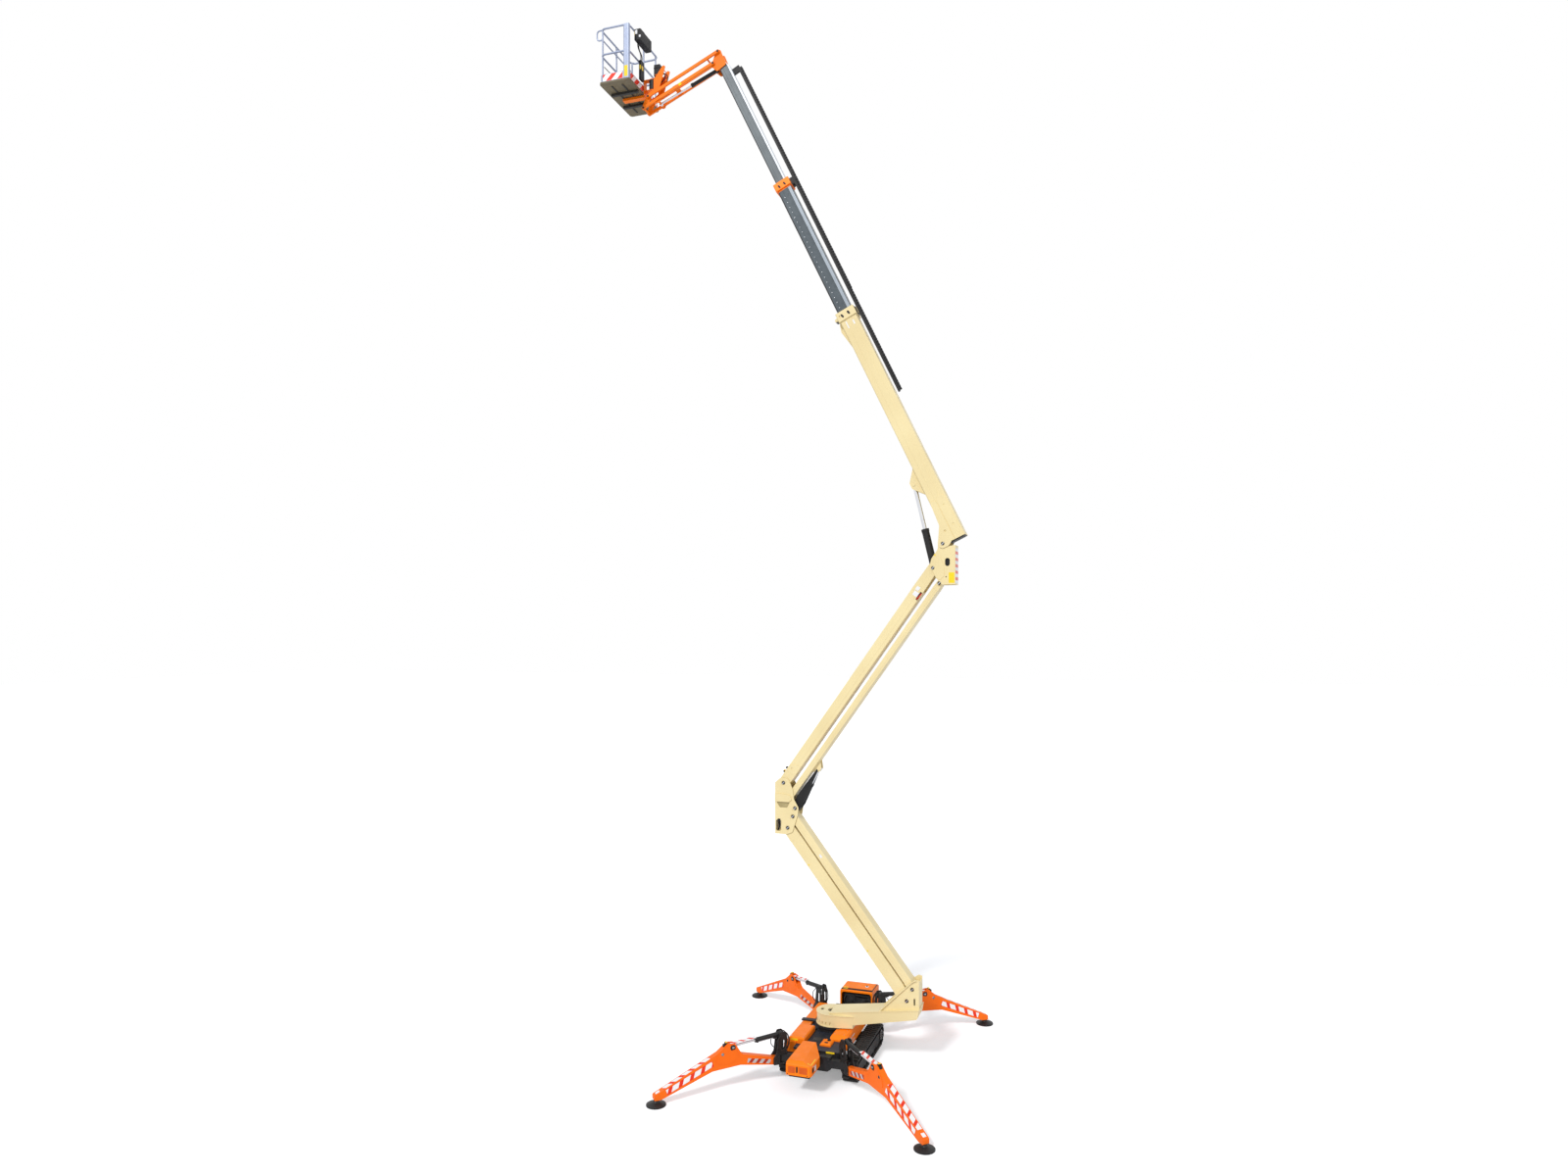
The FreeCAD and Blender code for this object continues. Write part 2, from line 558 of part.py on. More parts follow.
slant = [(HOOD_FACET_X, HOOD_REAR_Y), (HOOD_RIGHT_X, -1420.0), (HOOD_RIGHT_X + 1.0, HOOD_REAR_Y + 1.0)]
hood = hood.cut(flat_plate(slant, TONGUE_TOP - 1.0, HOOD_TOP + 1.0))
front_corner = [(HOOD_RIGHT_X - 35.0, HOOD_FRONT_Y - 1.0), (HOOD_RIGHT_X + 1.0, HOOD_FRONT_Y - 1.0),
                (HOOD_RIGHT_X + 1.0, HOOD_FRONT_Y + 60.0)]
hood = hood.cut(flat_plate(front_corner, TONGUE_TOP - 1.0, HOOD_TOP + 1.0))
for x0, x1 in ((HOOD_LEFT_X + 40.0, -130.0), (-60.0, HOOD_RIGHT_X - 70.0)):
    recess = [(x0, 480.0, 14.0), (x1, 480.0, 14.0), (x1, 605.0, 14.0), (x0, 605.0, 14.0)]
    hood = hood.cut(side_plate(recess, HOOD_FRONT_Y - 1.0, HOOD_FRONT_Y + GRILLE_DEPTH))
lamp_recess = [(-1880.0, 480.0, 12.0), (-1760.0, 480.0, 12.0), (-1760.0, 570.0, 12.0), (-1880.0, 570.0, 12.0)]
hood = hood.cut(cross_section(lamp_recess, HOOD_RIGHT_X - GRILLE_DEPTH, HOOD_RIGHT_X + 1.0))
nodes["front_hood"] = hood


def bevelled_lid(x0, x1, y0, y1, z0, z1, bevel):
    """Flat cover whose four upper edges are bevelled."""
    lid = box(x0, x1, y0, y1, z0, z1)
    edges = [e for e in lid.Edges if e.BoundBox.ZMin > z1 - 1.0]
    return lid.makeChamfer(bevel, edges)


# Left side: long skirt over the track and a lidded box on the deck
skirt_end = [(-SKIRT_OUTER_X, SKIRT_BOTTOM), (-DECK_HALF_WIDTH, SKIRT_BOTTOM), (-DECK_HALF_WIDTH, SKIRT_TOP),
             (-SKIRT_OUTER_X + 40.0, SKIRT_TOP), (-SKIRT_OUTER_X, SKIRT_TOP - 40.0)]
skirt = outline_face(skirt_end, lambda p: Vector(p.x, HOOD_REAR_Y, p.y)).extrude(Vector(0, SKIRT_REAR_Y - HOOD_REAR_Y, 0))
lid = bevelled_lid(-575.0, -275.0, -950.0, -270.0, SKIRT_TOP, LID_TOP, LID_BEVEL)
lid_low = box(-DECK_HALF_WIDTH, -275.0, -950.0, -270.0, DECK_TOP, SKIRT_TOP)
nodes["left_side_box"] = fuse([skirt, lid, lid_low])

# Right side: a bevelled cover inside the track, cut round the slew ring, its side wall running on to the rear
cover_end = [(DECK_HALF_WIDTH, SKIRT_BOTTOM), (COVER_OUTER_X, SKIRT_BOTTOM),
             (COVER_OUTER_X - 18.0, COVER_TOP - COVER_BEVEL),
             (COVER_OUTER_X - 18.0 - COVER_BEVEL, COVER_TOP), (130.0 + COVER_BEVEL, COVER_TOP),
             (130.0, COVER_TOP - COVER_BEVEL), (130.0, DECK_TOP), (DECK_HALF_WIDTH, DECK_TOP)]
cover_face = outline_face(cover_end, lambda p: Vector(p.x, -640.0, p.y))
cover = cover_face.extrude(Vector(0, 740.0, 0))
cover_nose = [(-641.0, COVER_TOP + 1.0), (-641.0, DECK_TOP + 30.0), (-560.0, COVER_TOP + 1.0)]
cover = cover.cut(cross_section(cover_nose, 0.0, 600.0))
cover = cover.cut(Part.makeCylinder(SLEW_RING_RADIUS + 14.0, 200.0, Vector(0, 0, DECK_TOP)))
side_wall = [(DECK_HALF_WIDTH, SKIRT_BOTTOM), (COVER_OUTER_X, SKIRT_BOTTOM), (COVER_OUTER_X - 12.0, SKIRT_TOP),
             (DECK_HALF_WIDTH, SKIRT_TOP)]
wall_face = outline_face(side_wall, lambda p: Vector(p.x, 99.0, p.y))
nodes["right_side_cover"] = fuse([cover, wall_face.extrude(Vector(0, SKIRT_REAR_Y - 99.0, 0))])

# Small bevelled cover of the deck controls in front of it
nodes["deck_control_cover"] = bevelled_lid(20.0, 225.0, -930.0, -680.0, DECK_TOP, DECK_TOP + 55.0, LID_BEVEL)

# Engine at the rear under a moulded hood that is open in front, with a thick rim round the opening
hood_section = [(REAR_HOOD_LEFT_X, REAR_SILL), (REAR_HOOD_RIGHT_X, REAR_SILL),
                (REAR_HOOD_RIGHT_X, REAR_HOOD_TOP, REAR_HOOD_CORNER), (REAR_HOOD_LEFT_X, REAR_HOOD_TOP, REAR_HOOD_CORNER)]
rear_hood = side_plate(hood_section, REAR_HOOD_FRONT_Y, SPINE_REAR_Y)
top_fall = [(REAR_HOOD_FRONT_Y - 1.0, REAR_HOOD_TOP + 1.0), (REAR_HOOD_FRONT_Y - 1.0, REAR_HOOD_TOP - 55.0),
            (REAR_HOOD_FRONT_Y + 90.0, REAR_HOOD_TOP - 22.0, 150.0), (SPINE_REAR_Y - 120.0, REAR_HOOD_TOP, 300.0),
            (SPINE_REAR_Y + 1.0, REAR_HOOD_TOP - 60.0), (SPINE_REAR_Y + 1.0, REAR_HOOD_TOP + 1.0)]
rear_hood = rear_hood.cut(cross_section(top_fall, REAR_HOOD_LEFT_X - 1.0, REAR_HOOD_RIGHT_X + 1.0))


def hood_hollow(wall, drop, y0, y1):
    """Space under the hood at a wall's thickness from its outside."""
    inside = [(REAR_HOOD_LEFT_X + wall, REAR_SILL - 1.0), (REAR_HOOD_RIGHT_X - wall, REAR_SILL - 1.0),
              (REAR_HOOD_RIGHT_X - wall, REAR_HOOD_TOP - drop, REAR_HOOD_CORNER - wall),
              (REAR_HOOD_LEFT_X + wall, REAR_HOOD_TOP - drop, REAR_HOOD_CORNER - wall)]
    return side_plate(inside, y0, y1)


rear_hood = rear_hood.cut(hood_hollow(REAR_HOOD_RIM, 55.0 + REAR_HOOD_RIM, REAR_HOOD_FRONT_Y - 1.0,
                                      REAR_HOOD_FRONT_Y + REAR_HOOD_RIM))
rear_hood = rear_hood.cut(hood_hollow(REAR_HOOD_WALL, 60.0 + REAR_HOOD_WALL, REAR_HOOD_FRONT_Y + REAR_HOOD_RIM - 1.0,
                                      SPINE_REAR_Y - REAR_HOOD_WALL))
for y in (1500.0, 1600.0, 1700.0):
    vent = [(y, 600.0, 12.0), (y + 50.0, 600.0, 12.0), (y + 50.0, 760.0, 12.0), (y, 760.0, 12.0)]
    rear_hood = rear_hood.cut(cross_section(vent, REAR_HOOD_RIGHT_X - REAR_HOOD_WALL - 1.0, REAR_HOOD_RIGHT_X + 1.0))
nodes["rear_hood"] = rear_hood
nodes["engine_block"] = box(-180.0, 370.0, 1470.0, 1900.0, REAR_SILL, 780.0)


# Outriggers

def outrigger_bracket():
    """Casting that swivels on the chassis eye: two windowed cheeks, webs above and below the eye, and the pins."""
    inner = LEG_HALF_WIDTH + BRACKET_GAP
    outer = inner + BRACKET_PLATE
    pin_x, pin_z = LEG_CYLINDER_PIN
    web_bottom = EYE_BOTTOM - 35.0
    web_top = EYE_TOP + 30.0
    cheek = [(85.0, web_bottom), (215.0, web_bottom, 20.0), (215.0, LEG_PIN[1] + 50.0, 60.0),
             (LEG_PIN[0], web_top + 10.0), (pin_x + 70.0, pin_z - 5.0, 30.0), (pin_x + 45.0, pin_z + 50.0, 30.0),
             (pin_x - 55.0, pin_z + 50.0, 40.0), (pin_x - 85.0, pin_z - 25.0, 30.0), (-45.0, EYE_TOP + 5.0),
             (85.0, EYE_TOP + 5.0)]
    window = [(-5.0, web_top + 60.0, 26.0), (62.0, web_top + 40.0, 30.0), (48.0, pin_z - 100.0, 22.0),
              (0.0, pin_z - 95.0, 22.0)]
    pieces = []
    for plate in both_sides(side_plate(cheek, inner, outer)):
        pieces.append(plate.cut(side_plate(window, -outer - 1.0, outer + 1.0)))
    for z0, z1 in ((web_bottom, EYE_BOTTOM - 5.0), (EYE_TOP + 5.0, web_top)):
        pieces.append(Part.makeCylinder(outer, z1 - z0, Vector(0, 0, z0)))
        pieces.append(box(0.0, 86.0, -outer, outer, z0, z1))
    pieces.append(Part.makeCylinder(SWIVEL_PIN_RADIUS, web_top - web_bottom, Vector(0, 0, web_bottom)))
    pieces.append(cross_pin(LEG_PIN[0], LEG_PIN[1], 22.0, -outer - 6.0, outer + 6.0))
    pieces.append(cross_pin(pin_x, pin_z, 18.0, -outer - 6.0, outer + 6.0))
    return fuse(pieces)


def outrigger_leg():
    """Bent box leg in its own plane: inner box, knee with its doublers and tie-down hole, tapered outer box."""
    px, pz = LEG_PIN
    ex, ez = LEG_ELBOW_PIN
    outline = [(px - 58.0, pz - 48.0, 40.0), (px + 50.0, pz - 68.0, 40.0), (ex - 150.0, 460.0, 120.0),
               (ex + 390.0, 430.0, 120.0), (FOOT_REACH - 80.0, FOOT_TOP, 20.0), (FOOT_REACH + 50.0, FOOT_TOP, 20.0),
               (FOOT_REACH + 50.0, FOOT_TOP + 90.0, 30.0), (ex + 280.0, ez - 70.0, 90.0), (ex + 150.0, ez + 30.0, 60.0),
               (ex + 95.0, ez + 80.0, 30.0), (ex - 50.0, ez + 60.0, 40.0), (ex - 180.0, ez - 150.0, 120.0),
               (px + 50.0, pz + 70.0, 30.0), (px - 58.0, pz + 50.0, 40.0)]
    leg = side_plate(outline, -LEG_HALF_WIDTH, LEG_HALF_WIDTH)
    knee = [(ex - 130.0, ez - 200.0, 60.0), (ex + 60.0, ez - 290.0, 80.0), (ex + 330.0, ez - 250.0, 60.0),
            (ex + 270.0, ez - 85.0, 60.0), (ex + 130.0, ez + 25.0, 50.0), (ex + 80.0, ez + 55.0, 30.0),
            (ex - 30.0, ez + 45.0, 40.0)]
    doublers = both_sides(side_plate(knee, LEG_HALF_WIDTH, LEG_HALF_WIDTH + LEG_DOUBLER))
    stop = box(ex + 90.0, ex + 130.0, -30.0, 30.0, ez + 30.0, ez + 78.0)
    leg = fuse([leg, stop] + doublers)
    leg = leg.cut(cross_pin(px, pz, 22.0 + RUNNING, -100.0, 100.0))
    leg = leg.cut(cross_pin(LEG_HOLE[0], LEG_HOLE[1], LEG_HOLE_RADIUS, -100.0, 100.0))
    slot = [(ex - 230.0, ez - 80.0, 20.0), (ex + 70.0, ez - 60.0, 30.0), (ex + 70.0, ez + 160.0), (ex - 230.0, ez + 160.0)]
    leg = leg.cut(side_plate(slot, -LEG_SLOT_HALF_WIDTH, LEG_SLOT_HALF_WIDTH))
    stubs = open_pivot(ex, ez, 18.0, LEG_EYE_HALF_WIDTH + SEAT, LEG_HALF_WIDTH + LEG_DOUBLER + PIN_HEAD)
    return fuse([leg] + stubs)


def outrigger_foot():
    profile = [Vector(0, 0, 0), Vector(FOOT_RADIUS, 0, 0), Vector(FOOT_RADIUS, 0, 22.0),
               Vector(60.0, 0, 60.0), Vector(38.0, 0, FOOT_TOP), Vector(0, 0, FOOT_TOP)]
    face = Part.Face(Part.makePolygon(profile + profile[:1]))
    foot = face.revolve(Vector(0, 0, 0), Vector(0, 0, 1), 360)
    foot.translate(Vector(FOOT_REACH, 0, 0))
    return foot


def cylinder_barrel(length, radius, eye_radius, eye_half_width, pin_radius):
    """Barrel along X from its base pin, with an eye, a body and a gland."""
    eye = cross_pin(0.0, 0.0, eye_radius, -eye_half_width, eye_half_width)
    body = rod((eye_radius * 0.6, 0, 0), (length, 0, 0), radius)
    gland = rod((length - 50.0, 0, 0), (length, 0, 0), radius + 5.0)
    barrel = fuse([eye, body, gland])
    return barrel.cut(cross_pin(0.0, 0.0, pin_radius + RUNNING, -200.0, 200.0))


def cylinder_rod(start, length, radius, eye_radius, eye_half_width):
    """Rod along X from inside its barrel to its eye, which is left solid."""
    bar = rod((start, 0, 0), (length, 0, 0), radius)
    eye = cross_pin(length, 0.0, eye_radius, -eye_half_width, eye_half_width)
    return fuse([bar, eye])


def rod_bore(barrel, length, depth, radius):
    """Opens a barrel for its rod."""
    return barrel.cut(rod((length - depth, 0, 0), (length + 1.0, 0, 0), radius + SEAT))


leg_angle, leg_cylinder_length = bearing(LEG_CYLINDER_PIN, LEG_ELBOW_PIN)
LEG_ROD_START = 90.0 + 390.0
bracket = outrigger_bracket()
leg = outrigger_leg()
foot = outrigger_foot()
barrel = cylinder_barrel(LEG_BARREL_LENGTH, LEG_BARREL_RADIUS, 42.0, LEG_EYE_HALF_WIDTH, 18.0)
barrel = rod_bore(barrel, LEG_BARREL_LENGTH, LEG_BARREL_LENGTH - 60.0, LEG_ROD_RADIUS)
leg_barrel = in_boom_plane(barrel, leg_angle, LEG_CYLINDER_PIN)
stroke_rod = cylinder_rod(LEG_ROD_START, leg_cylinder_length, LEG_ROD_RADIUS, 30.0, LEG_EYE_HALF_WIDTH)
cover_plate = box(500.0, leg_cylinder_length + 20.0, -44.0, 44.0, 51.0, 57.0)
cover_stay = box(leg_cylinder_length - 12.0, leg_cylinder_length + 12.0, -20.0, 20.0, 22.0, 52.0)
leg_rod = in_boom_plane(fuse([stroke_rod, cover_plate, cover_stay]), leg_angle, LEG_CYLINDER_PIN)

# name, side of the chassis, swivel Y, angle of the leg from the X axis
OUTRIGGERS = [("front_left", -1.0, SWIVEL_FRONT_Y, 180.0 + FRONT_LEG_ANGLE),
              ("front_right", 1.0, SWIVEL_FRONT_Y, -FRONT_LEG_ANGLE),
              ("rear_right", 1.0, SWIVEL_REAR_Y, REAR_LEG_ANGLE),
              ("rear_left", -1.0, SWIVEL_REAR_Y, 180.0 - REAR_LEG_ANGLE)]
for corner, side, y, angle in OUTRIGGERS:
    for piece, shape in (("bracket", bracket), ("leg", leg), ("foot", foot), ("barrel", leg_barrel),
                         ("rod", leg_rod)):
        placed = shape.copy()
        placed.rotate(Vector(0, 0, 0), Vector(0, 0, 1), angle)
        placed.translate(Vector(side * SWIVEL_X, y, 0))
        nodes["outrigger_%s_%s" % (piece, corner)] = placed

# Turret: drum, rising box arm and the pair of gusset plates that carry the lower parallelogram


def arm_top(x):
    return ARM_TOP_AT_AXIS + ARM_SLOPE * x


def arm_bottom(x):
    return max(TURRET_BOTTOM, ARM_BOTTOM_AT_AXIS + ARM_BOTTOM_SLOPE * x)


def keyhole(radius, half_width, z0, z1):
    """Round drum running out into the arm's width, as one flat plate."""
    plate = Part.makeCylinder(radius, z1 - z0, Vector(0, 0, z0))
    neck = [(0.0, -radius), (radius * 0.7, -radius * 0.95, 120.0), (radius * 1.5, -half_width),
            (radius * 1.5, half_width), (radius * 0.7, radius * 0.95, 120.0), (0.0, radius)]
    return plate.fuse(flat_plate(neck, z0, z1))


def arm_section(bottom_at_axis, top_at_axis, half_width, end_x):
    """Length of the rising arm between two heights at the slew axis."""
    outline = [(0.0, max(TURRET_BOTTOM, bottom_at_axis)), (147.0, max(TURRET_BOTTOM, bottom_at_axis)),
               (end_x - 30.0, arm_bottom(end_x - 30.0), 60.0), (end_x, top_at_axis + ARM_SLOPE * end_x, 20.0),
               (0.0, top_at_axis)]
    return side_plate(outline, -half_width, half_width)


drum = keyhole(DRUM_RADIUS, ARM_HALF_WIDTH, TURRET_BOTTOM, DRUM_TOP - ARM_TOP_PLATE)
foot_rim = Part.makeCylinder(DRUM_RADIUS + DRUM_RIM, 16.0, Vector(0, 0, TURRET_BOTTOM))
top_rim = keyhole(DRUM_RADIUS + DRUM_RIM, ARM_HALF_WIDTH + DRUM_RIM, DRUM_TOP - ARM_TOP_PLATE, DRUM_TOP)
arm = arm_section(ARM_BOTTOM_AT_AXIS, ARM_TOP_AT_AXIS, ARM_HALF_WIDTH, ARM_END_X)
top_plate = [(0.0, ARM_TOP_AT_AXIS - ARM_TOP_PLATE), (ARM_END_X, arm_top(ARM_END_X) - ARM_TOP_PLATE),
             (ARM_END_X, arm_top(ARM_END_X)), (0.0, ARM_TOP_AT_AXIS)]
arm_lip = side_plate(top_plate, -ARM_HALF_WIDTH - DRUM_RIM, ARM_HALF_WIDTH + DRUM_RIM)
gusset_low_x = 960.0
gusset_outline = [(gusset_low_x, arm_top(gusset_low_x) - 10.0), (LOWER_PIN[0] + 66.0, LOWER_PIN[1] + 346.0, 60.0),
                  (LOWER_TIE_PIN[0] + 51.0, LOWER_TIE_PIN[1] + 181.0, 40.0), (ARM_END_X - 11.0, LOWER_TIE_PIN[1] + 181.0),
                  (ARM_END_X - 11.0, arm_top(ARM_END_X - 11.0) - 10.0)]
end_x = ARM_END_X - 11.0
turret_pieces = [drum, foot_rim, top_rim, arm, arm_lip]
gusset = side_plate(gusset_outline, PLATE_INNER, PLATE_OUTER)
for pin, angle in ((LOWER_PIN, 250.0), (LOWER_TIE_PIN, 235.0)):
    gusset = gusset.cut(pin_pocket(pin[0], pin[1], angle, PLATE_OUTER)[0])
hose_slot = [(end_x - 100.0, LOWER_PIN[1] - 72.0, 14.0), (end_x - 72.0, LOWER_PIN[1] - 72.0, 14.0),
             (end_x - 72.0, LOWER_PIN[1] + 62.0, 14.0), (end_x - 100.0, LOWER_PIN[1] + 62.0, 14.0)]
gusset = gusset.cut(side_plate(hose_slot, PLATE_INNER - 1.0, PLATE_OUTER + 1.0))
gusset_flange = [(gusset_low_x, arm_top(gusset_low_x) - 10.0), (LOWER_PIN[0] + 66.0, LOWER_PIN[1] + 346.0, 60.0),
                 (LOWER_TIE_PIN[0] + 51.0, LOWER_TIE_PIN[1] + 181.0, 40.0), (ARM_END_X - 60.0, LOWER_TIE_PIN[1] + 181.0),
                 (ARM_END_X - 60.0, LOWER_TIE_PIN[1] + 169.0), (LOWER_TIE_PIN[0] + 56.0, LOWER_TIE_PIN[1] + 169.0, 30.0),
                 (LOWER_PIN[0] + 74.0, LOWER_PIN[1] + 334.0, 50.0), (gusset_low_x + 22.0, arm_top(gusset_low_x) - 10.0)]
gusset = gusset.fuse(side_plate(gusset_flange, PLATE_OUTER - 1.0, PLATE_OUTER + GUSSET_FLANGE))
turret_pieces += both_sides(gusset)
turret_pieces.append(box(end_x - PLATE, end_x, -PLATE_OUTER, PLATE_OUTER, arm_top(end_x) - 10.0,
                         LOWER_TIE_PIN[1] + 128.0))
for pin in (LOWER_PIN, LOWER_TIE_PIN):
    turret_pieces.append(cross_pin(pin[0], pin[1], PIN_RADIUS, -PLATE_OUTER - PIN_HEAD, PLATE_OUTER + PIN_HEAD))
turret = fuse(turret_pieces)
turret = turret.cut(Part.makeCylinder(95.0, 60.0, Vector(0, 0, DRUM_TOP - 40.0)))
turret = turret.cut(Part.makeCylinder(12.0, 60.0, Vector(205.0, 120.0, DRUM_TOP - 10.0)))
top_slot = [(-235.0, -60.0, 20.0), (-175.0, -60.0, 20.0), (-175.0, 70.0, 20.0), (-235.0, 70.0, 20.0)]
turret = turret.cut(flat_plate(top_slot, DRUM_TOP - 30.0, DRUM_TOP + 1.0))
# Slots to the slew bolts round the drum's foot, and the access pocket on its left
slot_profile = [(-11.0, TURRET_BOTTOM + 40.0, 10.5), (11.0, TURRET_BOTTOM + 40.0, 10.5),
                (11.0, TURRET_BOTTOM + 92.0, 10.5), (-11.0, TURRET_BOTTOM + 92.0, 10.5)]
bolt_slot = cross_section(slot_profile, DRUM_RADIUS - 24.0, DRUM_RADIUS + DRUM_RIM + 1.0)
for i in range(DRUM_SLOTS):
    cutter = bolt_slot.copy()
    cutter.rotate(Vector(0, 0, 0), Vector(0, 0, 1), 216.0 + 15.0 * i)
    turret = turret.cut(cutter)
pocket_profile = [(-55.0, TURRET_BOTTOM + 60.0, 16.0), (55.0, TURRET_BOTTOM + 60.0, 16.0),
                  (55.0, TURRET_BOTTOM + 190.0, 16.0), (-55.0, TURRET_BOTTOM + 190.0, 16.0)]
access_pocket = cross_section(pocket_profile, DRUM_RADIUS - 60.0, DRUM_RADIUS + DRUM_RIM + 1.0)
access_pocket.rotate(Vector(0, 0, 0), Vector(0, 0, 1), 195.0)
turret = turret.cut(access_pocket)
nodes["turret"] = turret


# Parallelogram beams, drawn along X from their lower pin

def beam(length, depth, pin_radius, low_block, high_block):
    """Box beam with a solid rounded end round each pin."""
    half = depth / 2
    body = tube(low_block - 20.0, length - high_block + 20.0, BEAM_HALF_WIDTH, -half, half, BOOM_WALL, 14.0)
    end = half - 10.0
    low_end = side_plate([(-end, -end, end - 1.0), (low_block, -half), (low_block, half), (-end, end, end - 1.0)],
                         -BEAM_HALF_WIDTH, BEAM_HALF_WIDTH)
    high_end = side_plate([(length + end, -end, end - 1.0), (length + end, end, end - 1.0),
                           (length - high_block, half), (length - high_block, -half)],
                          -BEAM_HALF_WIDTH, BEAM_HALF_WIDTH)
    whole = fuse([body, low_end, high_end])
    for x in (0.0, length):
        whole = whole.cut(cross_pin(x, 0.0, pin_radius + RUNNING, -400.0, 400.0))
    return whole


lower_beam = beam(LOWER_LENGTH, LOWER_BEAM_DEPTH, PIN_RADIUS, 260.0, 260.0)
nodes["lower_beam"] = in_boom_plane(lower_beam, LOWER_ANGLE, LOWER_PIN)
lower_tie = beam(LOWER_LENGTH, LOWER_TIE_DEPTH, PIN_RADIUS, 160.0, 160.0)
nodes["lower_tie"] = in_boom_plane(lower_tie, LOWER_ANGLE, LOWER_TIE_PIN)

# Knuckle between the two parallelograms
kx, kz = KNUCKLE_LOW_PIN
knuckle_outline = [(kx - 259.0, kz - 123.0), (kx - 20.0, kz - 129.0, 80.0), (kx + 100.0, kz - 80.0, 70.0),
                   (kx + 205.0, kz + 260.0, 100.0), (kx + 222.0, kz + 400.0, 60.0), (kx + 130.0, kz + 560.0, 60.0),
                   (kx + 100.0, kz + 760.0, 80.0), (kx + 10.0, kz + 965.0, 70.0), (kx - 150.0, kz + 975.0, 70.0),
                   (kx - 259.0, kz + 880.0)]
knuckle_plate = side_plate(knuckle_outline, PLATE_INNER, PLATE_OUTER)
for pin, angle in ((KNUCKLE_LOW_PIN, 265.0), (KNUCKLE_LOW_TIE_PIN, 225.0), (RISER_BASE, 225.0),
                   (KNUCKLE_HIGH_PIN, 240.0)):
    knuckle_plate = knuckle_plate.cut(pin_pocket(pin[0], pin[1], angle, PLATE_OUTER)[0])
recess = [(kx - 232.0, kz + 498.0, 12.0), (kx + 45.0, kz + 498.0, 12.0), (kx - 10.0, kz + 395.0, 20.0),
          (kx - 160.0, kz + 395.0, 20.0)]
window = [(kx - 240.0, kz - 70.0, 30.0), (kx - 140.0, kz - 70.0, 30.0), (kx - 130.0, kz + 150.0, 30.0),
          (kx - 240.0, kz + 150.0, 30.0)]
for hole in (recess, window):
    knuckle_plate = knuckle_plate.cut(side_plate(hole, PLATE_INNER - 1.0, PLATE_OUTER + 1.0))
# Upper part of the knuckle with its thick lower band, set on the outside of the plates
band = [(kx - 259.0, kz + 510.0), (kx + 20.0, kz + 505.0, 20.0), (kx + 92.0, kz + 560.0, 30.0),
        (kx + 40.0, kz + 640.0, 30.0), (kx - 60.0, kz + 655.0, 20.0), (kx - 259.0, kz + 665.0)]
knuckle_band = side_plate(band, PLATE_OUTER - 1.0, PLATE_OUTER + KNUCKLE_BAND)
knuckle_pieces = both_sides(knuckle_plate.fuse(knuckle_band))
knuckle_pieces.append(box(kx - 259.0, kx - 243.0, -PLATE_OUTER, PLATE_OUTER, kz - 123.0, kz + 880.0))
for pin in (KNUCKLE_LOW_PIN, KNUCKLE_LOW_TIE_PIN, KNUCKLE_HIGH_PIN, KNUCKLE_HIGH_TIE_PIN, RISER_BASE):
    knuckle_pieces.append(cross_pin(pin[0], pin[1], PIN_RADIUS, -PLATE_OUTER - PIN_HEAD, PLATE_OUTER + PIN_HEAD))
nodes["knuckle"] = fuse(knuckle_pieces)

# Upper parallelogram
upper_beam = beam(UPPER_LENGTH, UPPER_BEAM_DEPTH, PIN_RADIUS, 240.0, FORK_LENGTH + 60.0)
upper_beam = upper_beam.cut(box(UPPER_LENGTH - FORK_LENGTH, UPPER_LENGTH + 200.0, -FORK_HALF_GAP, FORK_HALF_GAP,
                                -200.0, 200.0))
beam_doubler = [(240.0, -UPPER_BEAM_DEPTH / 2 + 4.0, 10.0), (470.0, -UPPER_BEAM_DEPTH / 2 + 4.0, 20.0), (430.0, 0.0, 20.0),
                (350.0, UPPER_BEAM_DEPTH / 2 - 4.0, 20.0), (240.0, UPPER_BEAM_DEPTH / 2 - 4.0, 10.0)]
beam_doubler = side_plate(beam_doubler, BEAM_HALF_WIDTH - 1.0, BEAM_HALF_WIDTH + DOUBLER)
upper_beam = fuse([upper_beam] + both_sides(beam_doubler.cut(cross_pin(330.0, 20.0, 24.0, 0.0, 400.0))))
nodes["upper_beam"] = in_boom_plane(upper_beam, UPPER_ANGLE, KNUCKLE_HIGH_PIN)
upper_tie = beam(UPPER_LENGTH, UPPER_TIE_DEPTH, PIN_RADIUS, 140.0, 140.0)
ear = [(RISER_ROD_PIN[0] - 130.0, -55.0), (RISER_ROD_PIN[0] - 40.0, RISER_ROD_PIN[1] - 42.0, 40.0),
       (RISER_ROD_PIN[0] + 40.0, RISER_ROD_PIN[1] - 42.0, 40.0), (RISER_ROD_PIN[0] + 170.0, -55.0)]
riser_ears = both_sides(side_plate(ear, 52.0, 70.0))
riser_ears += open_pivot(RISER_ROD_PIN[0], RISER_ROD_PIN[1], 26.0, 46.0 + SEAT, 76.0)
upper_tie = fuse([upper_tie] + riser_ears)
nodes["upper_tie"] = in_boom_plane(upper_tie, UPPER_ANGLE, KNUCKLE_HIGH_TIE_PIN)

